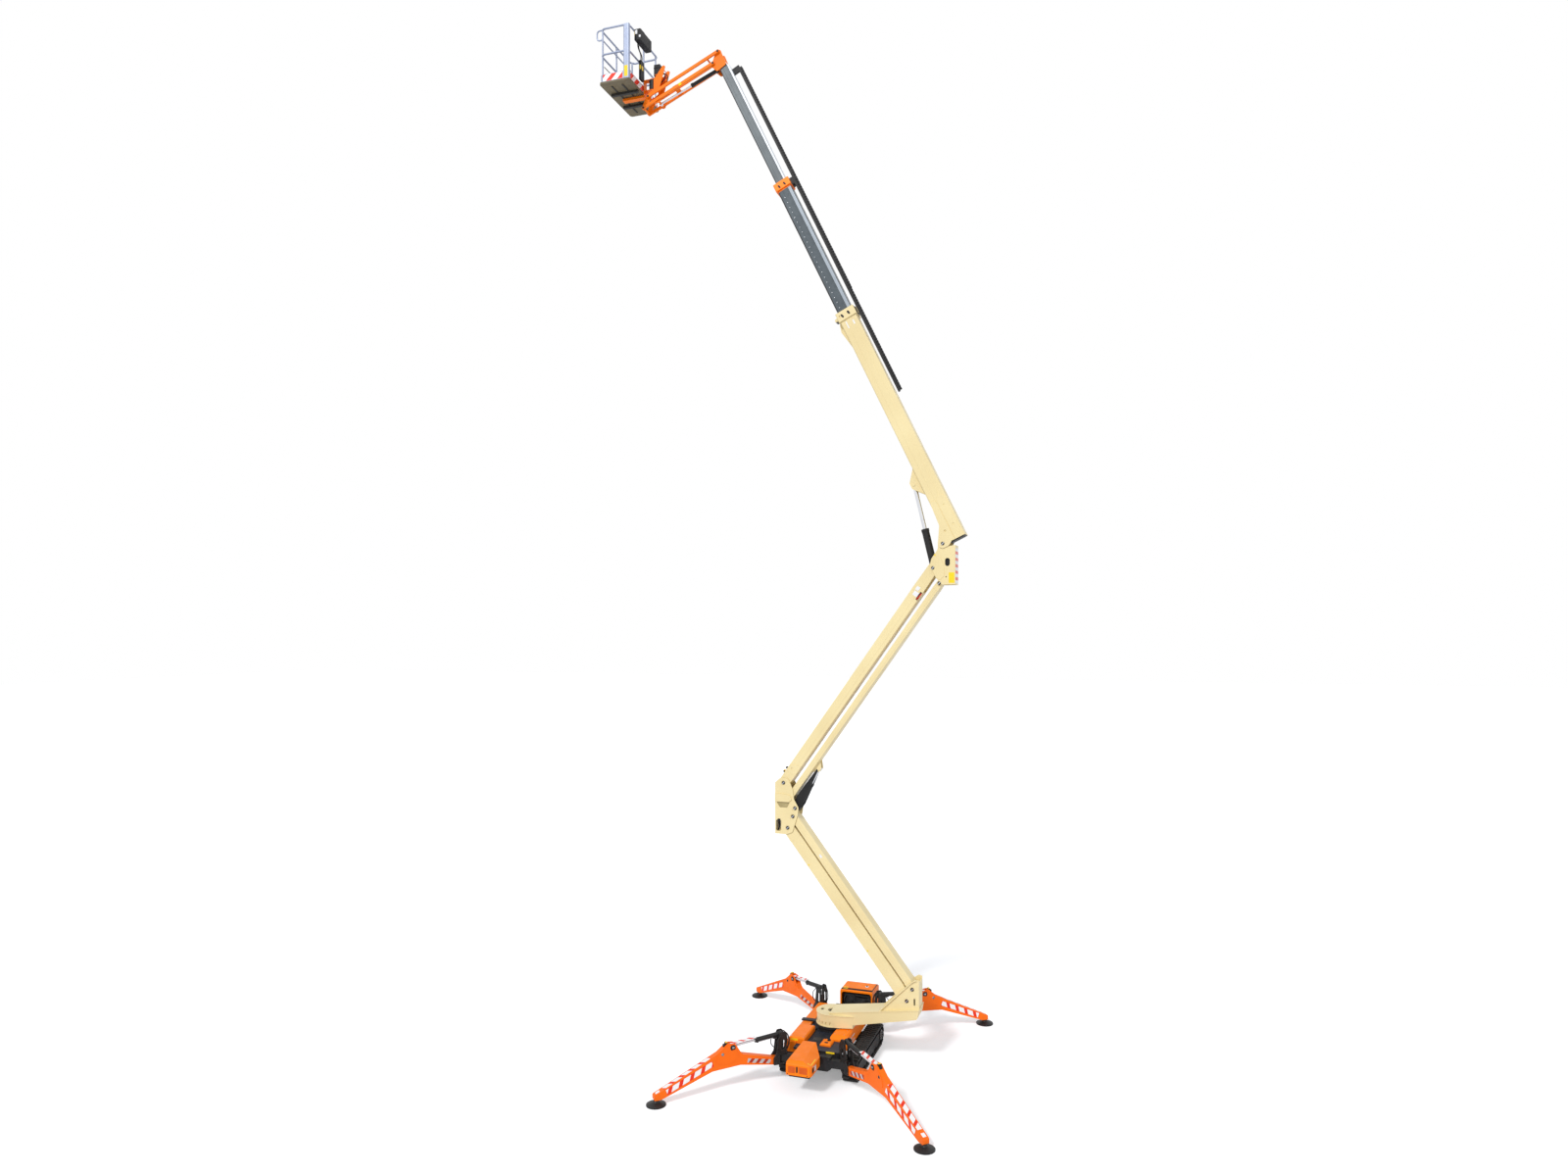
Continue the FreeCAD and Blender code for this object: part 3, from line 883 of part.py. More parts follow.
# Riser cylinder with its side guard
riser_angle, riser_length = bearing(RISER_BASE, RISER_EYE)
riser_barrel = cylinder_barrel(RISER_BARREL_LENGTH, RISER_BARREL_RADIUS, 68.0, 60.0, PIN_RADIUS)
riser_barrel = rod_bore(riser_barrel, RISER_BARREL_LENGTH, RISER_BARREL_LENGTH - 90.0, RISER_ROD_RADIUS)
guard = [(-60.0, -66.0, 30.0), (120.0, -86.0, 40.0), (riser_length - 40.0, -12.0, 20.0), (riser_length, 26.0, 12.0),
         (215.0, 104.0, 40.0), (-60.0, 70.0, 40.0)]
guard_pieces = both_sides(side_plate(guard, RISER_GUARD_INNER, RISER_GUARD_INNER + RISER_GUARD))
for along in (150.0, 430.0):
    guard_pieces += both_sides(cross_pin(along, 0.0, 22.0, RISER_BARREL_RADIUS - 15.0, RISER_GUARD_INNER + 1.0))
riser_barrel = fuse([riser_barrel] + guard_pieces)
riser_barrel = riser_barrel.cut(cross_pin(0.0, 0.0, PIN_RADIUS + RUNNING, -200.0, 200.0))
nodes["riser_barrel"] = in_boom_plane(riser_barrel, riser_angle, RISER_BASE)
riser_rod = cylinder_rod(330.0, riser_length, RISER_ROD_RADIUS, 44.0, 46.0)
nodes["riser_rod"] = in_boom_plane(riser_rod, riser_angle, RISER_BASE)

# Head bracket on top of the upper parallelogram
hx, hz = MAIN_PIVOT
head_outline = [(hx - 246.0, hz - 400.0, 80.0), (hx - 130.0, hz - 640.0, 60.0), (hx - 19.0, hz - 763.0, 20.0),
                (hx + 232.0, hz - 763.0), (hx + 232.0, hz - 30.0), (hx + 90.0, hz - 55.0, 30.0),
                (hx + 75.0, hz + 88.0, 80.0), (hx - 95.0, hz + 88.0, 80.0), (hx - 95.0, hz - 100.0, 120.0),
                (hx - 217.0, hz - 275.0, 80.0)]
head_plate = side_plate(head_outline, PLATE_INNER, PLATE_OUTER)
# Rounded cover plate over the pins of the upper beam and of its tie
head_cover = [(hx - 140.0, hz - 240.0, 40.0), (hx - 50.0, hz - 235.0, 50.0), (hx + 20.0, hz - 420.0, 90.0),
              (hx + 28.0, hz - 590.0, 50.0), (hx - 60.0, hz - 690.0, 50.0), (hx - 140.0, hz - 610.0, 50.0),
              (hx - 222.0, hz - 420.0, 70.0)]
head_plate = head_plate.fuse(side_plate(head_cover, PLATE_OUTER - 1.0, PLATE_OUTER + DOUBLER))
head_plate = head_plate.cut(cross_pin(hx + 60.0, hz - 620.0, 14.0, 0.0, 400.0))
head_pieces = both_sides(head_plate)
head_pieces.append(box(hx + 216.0, hx + 232.0, -PLATE_OUTER, PLATE_OUTER, hz - 763.0, hz - 30.0))
for pin in (HEAD_PIN, HEAD_TIE_PIN):
    head_pieces.append(cross_pin(pin[0], pin[1], PIN_RADIUS, -PLATE_OUTER - PIN_HEAD, PLATE_OUTER + PIN_HEAD))
head_pieces.append(cross_pin(hx, hz, PIN_RADIUS, -MAIN_HALF_WIDTH - 24.0, MAIN_HALF_WIDTH + 24.0))
head = fuse(head_pieces)
hole = [(hx + 40.0, hz - 420.0, 44.0), (hx + 130.0, hz - 420.0, 44.0), (hx + 130.0, hz - 270.0, 44.0),
        (hx + 40.0, hz - 270.0, 44.0)]
head = head.cut(side_plate(hole, -PLATE_OUTER - 1.0, PLATE_OUTER + 1.0))
nodes["head_bracket"] = head

# Main boom, drawn along X from its pivot
MAIN_LOW = MAIN_AXIS_OFFSET - MAIN_DEPTH / 2
MAIN_HIGH = MAIN_AXIS_OFFSET + MAIN_DEPTH / 2
main_tube = tube(MAIN_START, MAIN_END, MAIN_HALF_WIDTH, MAIN_LOW, MAIN_HIGH, BOOM_WALL, 24.0)
EXT_1_LOW = MAIN_AXIS_OFFSET - EXTENSION_1_DEPTH / 2
EXT_1_HIGH = MAIN_AXIS_OFFSET + EXTENSION_1_DEPTH / 2
EXT_2_LOW = MAIN_AXIS_OFFSET - EXTENSION_2_DEPTH / 2
EXT_2_HIGH = MAIN_AXIS_OFFSET + EXTENSION_2_DEPTH / 2
main_collar = sleeve(MAIN_END - COLLAR_LENGTH, MAIN_END, MAIN_HALF_WIDTH, MAIN_LOW, MAIN_HIGH, COLLAR_STAND, 24.0,
                     -1.0)
main_pads = cross_section(rounded_block(MAIN_HALF_WIDTH - 4.0, MAIN_LOW + 4.0, MAIN_HIGH - 4.0, 20.0),
                          MAIN_END - COLLAR_LENGTH, MAIN_END)
main_pads = main_pads.cut(cross_section(
    rounded_block(EXTENSION_1_HALF_WIDTH + SLIDING, EXT_1_LOW - SLIDING, EXT_1_HIGH + SLIDING, 18.0 + SLIDING),
    MAIN_END - COLLAR_LENGTH - 1.0, MAIN_END + 1.0))
# Pivot cheeks, and the doublers along the tube beside them with their plug-weld holes
pivot_cheek = [(MAIN_START, CHEEK_LOW), (CHEEK_END, CHEEK_LOW, 50.0), (CHEEK_END, MAIN_HIGH - 13.0, 40.0),
               (330.0, MAIN_HIGH + 20.0, 80.0), (110.0, 40.0, 60.0), (40.0, 84.0, 60.0), (-78.0, 84.0, 78.0),
               (-84.0, -90.0, 60.0), (MAIN_START, -170.0)]
tube_doubler = [(MAIN_START, MAIN_LOW + 30.0), (CHEEK_END + 60.0, MAIN_LOW + 30.0, 80.0),
                (CHEEK_END + 60.0, CHEEK_LOW - 16.0, 80.0), (MAIN_START, CHEEK_LOW - 16.0)]
CHEEK_OUTER = MAIN_HALF_WIDTH + CHEEK
cheek = side_plate(pivot_cheek, MAIN_HALF_WIDTH - CREASE - 1.0, CHEEK_OUTER)
cheek = cheek.cut(cross_pin(190.0, CHEEK_LOW + 90.0, 22.0, MAIN_HALF_WIDTH, 400.0))
doubler = side_plate(tube_doubler, MAIN_HALF_WIDTH - CREASE - 1.0, MAIN_HALF_WIDTH + DOUBLER)
for along in (240.0, 640.0):
    doubler = doubler.cut(cross_pin(along, (MAIN_LOW + 30.0 + CHEEK_LOW - 16.0) / 2, 22.0, MAIN_HALF_WIDTH, 400.0))
main_pieces = [main_tube, main_collar, main_pads]
main_pieces += both_sides(cheek) + both_sides(doubler)
# Jib rest on the boom's upper side: roller at the collar, and a wedge-shaped pair of plates with its block
roller_along = MAIN_END - 70.0
roller_across = MAIN_HIGH + COLLAR_STAND + ROLLER_RADIUS_ON_COLLAR + 10.0
main_pieces.append(cross_pin(roller_along, roller_across, ROLLER_RADIUS_ON_COLLAR, -70.0, 70.0))
roller_ear = [(roller_along - 40.0, MAIN_HIGH + COLLAR_STAND - 2.0), (roller_along + 40.0, MAIN_HIGH + COLLAR_STAND - 2.0),
              (roller_along + 20.0, roller_across + 16.0, 18.0), (roller_along - 20.0, roller_across + 16.0, 18.0)]
main_pieces += both_sides(side_plate(roller_ear, 70.0, 80.0))
rest_start = MAIN_END - COLLAR_LENGTH
rest_plate = [(rest_start - 580.0, MAIN_HIGH - 3.0), (rest_start - 150.0, MAIN_HIGH + 78.0, 15.0),
              (rest_start + 1.0, MAIN_HIGH + 40.0), (rest_start + 1.0, MAIN_HIGH - 3.0)]
main_pieces += both_sides(side_plate(rest_plate, 58.0, 68.0))
main_pieces.append(box(rest_start - 230.0, rest_start - 160.0, -59.0, 59.0, MAIN_HIGH - 3.0, MAIN_HIGH + 56.0))
# Gussets of the lift cylinder's eye
lug = [(LIFT_ROD_PIN[0] - 280.0, MAIN_HIGH - 4.0), (LIFT_ROD_PIN[0] + 300.0, MAIN_HIGH - 4.0),
       (LIFT_ROD_PIN[0] + 60.0, LIFT_ROD_PIN[1] + 62.0, 60.0), (LIFT_ROD_PIN[0] - 60.0, LIFT_ROD_PIN[1] + 62.0, 60.0)]
main_pieces += both_sides(side_plate(lug, 52.0, 72.0))
main_pieces += open_pivot(LIFT_ROD_PIN[0], LIFT_ROD_PIN[1], PIN_RADIUS, 46.0 + SEAT, 80.0)
RAIL_HIGH = MAIN_LOW - COLLAR_STAND - RAIL_STAND
guide = box(MAIN_END - 150.0, MAIN_END - 30.0, -80.0, 80.0, RAIL_HIGH + SLIDING, MAIN_LOW - COLLAR_STAND + 2.0)
main_pieces.append(guide)
main_boom = fuse(main_pieces)
# Slots of the wear pads in both faces of the collar
for along, across in ((MAIN_END - 90.0, MAIN_HIGH - 40.0), (MAIN_END - 90.0, MAIN_LOW + 110.0)):
    pad_slot = [(along - 30.0, across - 13.0, 12.5), (along + 30.0, across - 13.0, 12.5),
                (along + 30.0, across + 13.0, 12.5), (along - 30.0, across + 13.0, 12.5)]
    for cutter in both_sides(side_plate(pad_slot, MAIN_HALF_WIDTH + 6.0, MAIN_HALF_WIDTH + COLLAR_STAND + 1.0)):
        main_boom = main_boom.cut(cutter)
main_boom = main_boom.cut(cross_pin(0.0, 0.0, PIN_RADIUS + RUNNING, -400.0, 400.0))
nodes["main_boom"] = in_boom_plane(main_boom, MAIN_ANGLE, MAIN_PIVOT)

lift_angle, lift_length = bearing(HEAD_PIN, LIFT_EYE)
lift_barrel = cylinder_barrel(LIFT_BARREL_LENGTH, LIFT_BARREL_RADIUS, 72.0, 88.0, PIN_RADIUS)
lift_barrel = rod_bore(lift_barrel, LIFT_BARREL_LENGTH, LIFT_BARREL_LENGTH - 100.0, LIFT_ROD_RADIUS)
nodes["lift_barrel"] = in_boom_plane(lift_barrel, lift_angle, HEAD_PIN)
lift_rod = cylinder_rod(640.0, lift_length, LIFT_ROD_RADIUS, 58.0, 46.0)
nodes["lift_rod"] = in_boom_plane(lift_rod, lift_angle, HEAD_PIN)

# First extension
extension_1 = tube(EXTENSION_1_START, EXTENSION_1_END, EXTENSION_1_HALF_WIDTH, EXT_1_LOW, EXT_1_HIGH, 7.0, 18.0)
collar_1 = sleeve(EXTENSION_1_END - 150.0, EXTENSION_1_END, EXTENSION_1_HALF_WIDTH, EXT_1_LOW, EXT_1_HIGH, 27.0,
                  18.0, -1.0)
pads_1 = cross_section(rounded_block(EXTENSION_1_HALF_WIDTH - 3.0, EXT_1_LOW + 3.0, EXT_1_HIGH - 3.0, 15.0),
                       EXTENSION_1_END - 150.0, EXTENSION_1_END)
pads_1 = pads_1.cut(cross_section(
    rounded_block(EXTENSION_2_HALF_WIDTH + SLIDING, EXT_2_LOW - SLIDING, EXT_2_HIGH + SLIDING, 14.0 + SLIDING),
    EXTENSION_1_END - 151.0, EXTENSION_1_END + 1.0))
tail_pads_1 = sleeve(EXTENSION_1_START, EXTENSION_1_START + 120.0, EXTENSION_1_HALF_WIDTH, EXT_1_LOW, EXT_1_HIGH,
                     MAIN_DEPTH / 2 - BOOM_WALL - EXTENSION_1_DEPTH / 2 - SLIDING, 18.0, -1.0)
nodes["extension_1"] = in_boom_plane(fuse([extension_1, collar_1, pads_1, tail_pads_1]), MAIN_ANGLE, MAIN_PIVOT)

# Second extension with the ears of the levelling pin
extension_2 = tube(EXTENSION_2_START, EXTENSION_2_END, EXTENSION_2_HALF_WIDTH, EXT_2_LOW, EXT_2_HIGH, 7.0, 14.0)
tail_pads_2 = sleeve(EXTENSION_2_START, EXTENSION_2_START + 120.0, EXTENSION_2_HALF_WIDTH, EXT_2_LOW, EXT_2_HIGH,
                     EXTENSION_1_DEPTH / 2 - 7.0 - EXTENSION_2_DEPTH / 2 - SLIDING, 14.0, -1.0)
head_block = side_plate([(EXTENSION_2_END - 60.0, EXT_2_LOW + 5.0), (EXTENSION_2_END - 60.0, EXT_2_HIGH - 5.0),
                         (LEVEL_PIN_ALONG - 40.0, MAIN_AXIS_OFFSET + 52.0, 40.0),
                         (LEVEL_PIN_ALONG + 52.0, MAIN_AXIS_OFFSET + 52.0, 50.0),
                         (LEVEL_PIN_ALONG + 52.0, MAIN_AXIS_OFFSET - 52.0, 50.0),
                         (LEVEL_PIN_ALONG - 40.0, MAIN_AXIS_OFFSET - 52.0, 40.0)],
                        -EXTENSION_2_HALF_WIDTH + 5.0, EXTENSION_2_HALF_WIDTH - 5.0)
second = fuse([extension_2, tail_pads_2, head_block])
second = second.cut(cross_pin(LEVEL_PIN_ALONG, MAIN_AXIS_OFFSET, 24.0 + RUNNING, -300.0, 300.0))
nodes["extension_2"] = in_boom_plane(second, MAIN_ANGLE, MAIN_PIVOT)

# Cable carrier rails, one on each extension
RAIL_LOW = RAIL_HIGH - RAIL_DEPTH
rail_1 = box(RAIL_1_START, EXTENSION_1_END - 10.0, -20.0 - RAIL_WIDTH, -20.0, RAIL_LOW, RAIL_HIGH)
rail_1_foot = box(EXTENSION_1_END - 140.0, EXTENSION_1_END - 10.0, -20.0 - RAIL_WIDTH, -20.0, RAIL_HIGH - 1.0,
                  EXT_1_LOW - 27.0)
nodes["carrier_rail_1"] = in_boom_plane(fuse([rail_1, rail_1_foot]), MAIN_ANGLE, MAIN_PIVOT)
rail_2 = box(RAIL_2_START, EXTENSION_2_END - 60.0, 20.0, 20.0 + RAIL_WIDTH, RAIL_LOW, RAIL_HIGH)
rail_2_foot = box(EXTENSION_2_END - 180.0, EXTENSION_2_END - 60.0, 20.0, 20.0 + RAIL_WIDTH, RAIL_HIGH - 1.0,
                  EXT_2_LOW)
nodes["carrier_rail_2"] = in_boom_plane(fuse([rail_2, rail_2_foot]), MAIN_ANGLE, MAIN_PIVOT)

# Jib knuckle, held level on the second extension
jx, jz = LEVEL_PIN
JIB_PLATE_OUTER = JIB_PLATE_HALF_GAP + JIB_PLATE
jib_outline = [(jx - 190.0, jz - 130.0, 40.0), (jx - 60.0, jz - 245.0, 30.0), (jx + 139.0, jz - 132.0, 30.0),
               (jx + 10.0, jz + 176.0, 40.0), (jx - 80.0, jz + 176.0, 40.0)]
JIB_BAR_INNER = JIB_PLATE_OUTER + 4.0
JIB_BAR_OUTER = JIB_BAR_INNER + JIB_BAR_WIDTH
jib_knuckle_pieces = both_sides(side_plate(jib_outline, JIB_PLATE_HALF_GAP, JIB_PLATE_OUTER))
jib_knuckle_pieces.append(cross_pin(jx, jz, 24.0, -JIB_PLATE_OUTER, JIB_PLATE_OUTER))
jib_knuckle_pieces.append(cross_pin(*JIB_CYLINDER_BASE, 20.0, -JIB_PLATE_OUTER - 6.0, JIB_PLATE_OUTER + 3.0))
for pin in (JIB_HIGH_PIN, JIB_LOW_PIN):
    jib_knuckle_pieces += both_sides(cross_pin(pin[0], pin[1], 20.0, JIB_PLATE_HALF_GAP, JIB_BAR_OUTER + 6.0))
nodes["jib_knuckle"] = fuse(jib_knuckle_pieces)


# Jib bars: a pair above and a pair below
def jib_bars():
    half = JIB_BAR_DEPTH / 2
    outline = [(-half - 6.0, -half, 25.0), (JIB_LENGTH + half + 6.0, -half, 25.0),
               (JIB_LENGTH + half + 6.0, half, 25.0), (-half - 6.0, half, 25.0)]
    pieces = []
    for bar in both_sides(side_plate(outline, JIB_BAR_INNER, JIB_BAR_OUTER)):
        for x in (0.0, JIB_LENGTH):
            bar = bar.cut(cross_pin(x, 0.0, 20.0 + RUNNING, -300.0, 300.0))
        pieces.append(bar)
    return pieces


cross_tube = cross_pin(260.0, 0.0, 18.0, -JIB_BAR_INNER - 1.0, JIB_BAR_INNER + 1.0)
nodes["jib_upper_bars"] = in_boom_plane(fuse(jib_bars() + [cross_tube]), JIB_ANGLE, JIB_HIGH_PIN)

# The lower bars carry the eye of the jib cylinder between two lugs, and a flat plate ties them
lower_bars = jib_bars()
lower_bars.append(box(JIB_CROSS_PLATE[0], JIB_CROSS_PLATE[1], -JIB_BAR_OUTER, JIB_BAR_OUTER,
                      -JIB_BAR_DEPTH / 2 - 6.0, -JIB_BAR_DEPTH / 2 + 2.0))
rod_x, rod_z = JIB_ROD_PIN
jib_lug = [(rod_x - 90.0, 0.0), (rod_x - 24.0, rod_z + 32.0, 28.0), (rod_x + 24.0, rod_z + 32.0, 28.0),
           (rod_x + 90.0, 0.0)]
lower_bars += both_sides(side_plate(jib_lug, JIB_BAR_INNER, JIB_BAR_INNER + 12.0))
lower_bars += open_pivot(rod_x, rod_z, 20.0, JIB_EYE_HALF_WIDTH + SEAT, JIB_BAR_INNER + 12.0)
nodes["jib_lower_bars"] = in_boom_plane(fuse(lower_bars), JIB_ANGLE, JIB_LOW_PIN)

# Jib cylinder, nearly along the lower bars
jib_cylinder_angle, jib_cylinder_length = bearing(JIB_CYLINDER_BASE, JIB_EYE)
jib_barrel = cylinder_barrel(JIB_BARREL_LENGTH, JIB_BARREL_RADIUS, 38.0, 40.0, 20.0)
jib_barrel = rod_bore(jib_barrel, JIB_BARREL_LENGTH, JIB_BARREL_LENGTH - 70.0, JIB_ROD_RADIUS)
nodes["jib_barrel"] = in_boom_plane(jib_barrel, jib_cylinder_angle, JIB_CYLINDER_BASE)
jib_rod = cylinder_rod(500.0, jib_cylinder_length, JIB_ROD_RADIUS, 34.0, JIB_EYE_HALF_WIDTH)
nodes["jib_rod"] = in_boom_plane(jib_rod, jib_cylinder_angle, JIB_CYLINDER_BASE)

# Link at the jib's end: pin plates, tall bracket and the rotator's carrier
lx, lz = LINK_HIGH_PIN
link_outline = [(lx - 160.0, lz - 215.0, 40.0), (lx - 100.0, lz - 275.0, 30.0), (lx + 45.0, lz - 45.0, 40.0),
                (lx + 85.0, lz + 70.0, 40.0), (lx + 240.0, lz + 150.0, 60.0), (lx + 375.0, lz + 570.0, 20.0),
                (lx + 320.0, lz + 600.0, 30.0), (lx + 110.0, lz + 330.0), (lx + 110.0, lz + 150.0),
                (lx - 50.0, lz + 45.0, 40.0)]
link_pieces = both_sides(side_plate(link_outline, JIB_PLATE_HALF_GAP, JIB_PLATE_OUTER))
link_pieces.append(box(lx + 125.0, lx + 160.0, -JIB_PLATE_OUTER, JIB_PLATE_OUTER, lz + 160.0, ROTATOR_TOP))
JUNCTION_BOTTOM = ROTATOR_TOP + 60.0
link_pieces.append(box(lx + 140.0, lx + 250.0, -JIB_PLATE_HALF_GAP - 2.0, JIB_PLATE_HALF_GAP + 2.0,
                       JUNCTION_BOTTOM - 10.0, JUNCTION_BOTTOM))
link_pieces.append(box(ROTATOR_X, lx + 126.0, -45.0, 45.0, ROTATOR_BOTTOM + 6.0, ROTATOR_TOP - 6.0))
for pin in (LINK_HIGH_PIN, LINK_LOW_PIN):
    link_pieces.append(cross_pin(pin[0], pin[1], 20.0, -JIB_BAR_OUTER - 6.0, JIB_BAR_OUTER + 6.0))
link = fuse(link_pieces)
link = link.cut(Part.makeCylinder(ROTATOR_RADIUS, 400.0, Vector(ROTATOR_X, 0, ROTATOR_BOTTOM - 50.0)))
nodes["jib_link"] = link
rotator = Part.makeCylinder(ROTATOR_RADIUS, ROTATOR_TOP - ROTATOR_BOTTOM, Vector(ROTATOR_X, 0, ROTATOR_BOTTOM))
nodes["rotator"] = rotator
nodes["junction_box"] = box(lx + 90.0, lx + 220.0, -60.0, 60.0, JUNCTION_BOTTOM, JUNCTION_BOTTOM + 230.0)

# Basket support: a bracket that clasps the rotator and runs under the floor
FLANGE = 18.0
SUPPORT_REACH = 170.0          # from the rotator's axis to the support's upright plate
SUPPORT_HALF_WIDTH = 55.0
SUPPORT_BOTTOM = FLOOR_BOTTOM - 60.0
upright_x = ROTATOR_X - SUPPORT_REACH - FLANGE
lower_flange = ROTATOR_BOTTOM - SEAT - FLANGE
upper_flange = ROTATOR_TOP + SEAT
support_pieces = []
for z0 in (lower_flange, upper_flange):
    support_pieces.append(Part.makeCylinder(70.0, FLANGE, Vector(ROTATOR_X, 0, z0)))
    support_pieces.append(box(upright_x, ROTATOR_X, -SUPPORT_HALF_WIDTH, SUPPORT_HALF_WIDTH, z0, z0 + FLANGE))
support_pieces.append(box(upright_x, upright_x + FLANGE, -SUPPORT_HALF_WIDTH, SUPPORT_HALF_WIDTH, SUPPORT_BOTTOM,
                          upper_flange + FLANGE))
support_pieces.append(box(BASKET_LEFT_X + 200.0, upright_x + FLANGE, -SUPPORT_HALF_WIDTH, SUPPORT_HALF_WIDTH,
                          SUPPORT_BOTTOM, FLOOR_BOTTOM - 12.0))
nodes["basket_support"] = fuse(support_pieces)

# Basket floor: plate, two cross members and toe boards
floor = flat_plate([(BASKET_LEFT_X, -BASKET_HALF_LENGTH, 60.0), (BASKET_RIGHT_X, -BASKET_HALF_LENGTH, 60.0),
                    (BASKET_RIGHT_X, BASKET_HALF_LENGTH, 60.0), (BASKET_LEFT_X, BASKET_HALF_LENGTH, 60.0)],
                   FLOOR_BOTTOM, FLOOR_TOP)
members = [box(BASKET_LEFT_X + 60.0, BASKET_RIGHT_X - 20.0, y - 30.0, y + 30.0, FLOOR_BOTTOM - 50.0, FLOOR_BOTTOM)
           for y in (-MEMBER_Y, MEMBER_Y)]
under_bars = []
for from_left in UNDER_BARS:
    x = BASKET_LEFT_X + from_left
    bar_end = BASKET_HALF_LENGTH - 140.0
    under_bars.append(box(x - 15.0, x + 15.0, -bar_end, bar_end, FLOOR_BOTTOM - 12.0, FLOOR_BOTTOM))
nodes["basket_floor"] = fuse([floor] + members + under_bars)


# Basket rails: round tube on a rounded rectangle, with posts
def ring_rail(z):
    """Closed rail of round tube at a height, with rounded corners."""
    x0 = BASKET_LEFT_X + RAIL_INSET
    x1 = BASKET_RIGHT_X - RAIL_INSET
    y1 = BASKET_HALF_LENGTH - RAIL_INSET
    turn = RAIL_CORNER * (1.0 - math.sqrt(0.5))
    # corner X, corner Y, step inwards along X, step inwards along Y, whether the rail comes in along Y
    corners = [(x1, y1, -1, -1, True), (x0, y1, 1, -1, False), (x0, -y1, 1, 1, True), (x1, -y1, -1, 1, False)]
    edges = []
    previous = Vector(x1, -y1 + RAIL_CORNER, z)
    first_point = previous
    for x, y, sx, sy, comes_along_y in corners:
        on_x_side = Vector(x + sx * RAIL_CORNER, y, z)
        on_y_side = Vector(x, y + sy * RAIL_CORNER, z)
        enter, leave = (on_y_side, on_x_side) if comes_along_y else (on_x_side, on_y_side)
        middle = Vector(x + sx * turn, y + sy * turn, z)
        edges.append(Part.LineSegment(previous, enter).toShape())
        edges.append(Part.Arc(enter, middle, leave).toShape())
        previous = leave
    profile = Part.Wire(Part.makeCircle(RAIL_TUBE_RADIUS, first_point, Vector(0, 1, 0)))
    return Part.Wire(edges).makePipeShell([profile], True, True)


RAIL_TOP = FLOOR_TOP + RAIL_HEIGHT - RAIL_TUBE_RADIUS
frame_pieces = [ring_rail(RAIL_TOP), ring_rail(FLOOR_TOP + MID_RAIL_HEIGHT)]
# Posts: two in the far corners, and the others against the straight rails
corner_step = RAIL_INSET + RAIL_CORNER * (1.0 - math.sqrt(0.5))
corner_y = BASKET_HALF_LENGTH - corner_step
near_x = BASKET_RIGHT_X - RAIL_INSET
far_x = BASKET_LEFT_X + RAIL_INSET
straight_end = BASKET_HALF_LENGTH - RAIL_INSET - RAIL_CORNER
post_places = [(BASKET_LEFT_X + corner_step, -corner_y), (far_x, 0.0), (BASKET_LEFT_X + corner_step, corner_y),
               (near_x, 0.0), (near_x, straight_end - 10.0)]
for x, y in post_places:
    frame_pieces.append(rod((x, y, FLOOR_TOP), (x, y, RAIL_TOP), RAIL_TUBE_RADIUS - 2.0))
side_rail_z = RAIL_TOP - SIDE_RAIL_DROP
frame_pieces.append(rod((far_x, -straight_end - 60.0, side_rail_z), (far_x, straight_end + 60.0, side_rail_z), 14.0))
# Wide corner post with round edges, and the hand loop on the far front post
post_x = BASKET_RIGHT_X - CORNER_POST_INSET
post_y = -BASKET_HALF_LENGTH + CORNER_POST_INSET
post_back = post_y + CORNER_POST[1]
wide_post = [(post_x - CORNER_POST[0], post_y, CORNER_POST_EDGE), (post_x, post_y, CORNER_POST_EDGE),
             (post_x, post_back, CORNER_POST_EDGE), (post_x - CORNER_POST[0], post_back, CORNER_POST_EDGE)]
frame_pieces.append(flat_plate(wide_post, FLOOR_TOP, RAIL_TOP + RAIL_TUBE_RADIUS - 4.0))
loop_x, loop_y = post_places[0]
outer_x = loop_x - corner_step - LOOP_STAND
loop_edges = [Part.LineSegment(Vector(loop_x, loop_y, RAIL_TOP), Vector(outer_x + 60.0, loop_y, RAIL_TOP)),
              Part.Arc(Vector(outer_x + 60.0, loop_y, RAIL_TOP), Vector(outer_x + 17.6, loop_y, RAIL_TOP - 17.6),
                       Vector(outer_x, loop_y, RAIL_TOP - 60.0)),
              Part.LineSegment(Vector(outer_x, loop_y, RAIL_TOP - 60.0),
                               Vector(outer_x, loop_y, RAIL_TOP - LOOP_HEIGHT + 60.0)),
              Part.Arc(Vector(outer_x, loop_y, RAIL_TOP - LOOP_HEIGHT + 60.0),
                       Vector(outer_x + 17.6, loop_y, RAIL_TOP - LOOP_HEIGHT + 17.6),
                       Vector(outer_x + 60.0, loop_y, RAIL_TOP - LOOP_HEIGHT)),
              Part.LineSegment(Vector(outer_x + 60.0, loop_y, RAIL_TOP - LOOP_HEIGHT),
                               Vector(loop_x, loop_y, RAIL_TOP - LOOP_HEIGHT))]
loop_path = Part.Wire([edge.toShape() for edge in loop_edges])
loop_profile = Part.Wire(Part.makeCircle(15.0, Vector(loop_x, loop_y, RAIL_TOP), Vector(-1, 0, 0)))
frame_pieces.append(loop_path.makePipeShell([loop_profile], True, True))
TOE_HEIGHT = 150.0
TOE_BOARD = 6.0


def basket_outline(inset, corner):
    """Rounded outline of the basket at an inset from the floor's edge."""
    x0 = BASKET_LEFT_X + inset
    x1 = BASKET_RIGHT_X - inset
    y1 = BASKET_HALF_LENGTH - inset
    return [(x0, -y1, corner), (x1, -y1, corner), (x1, y1, corner), (x0, y1, corner)]


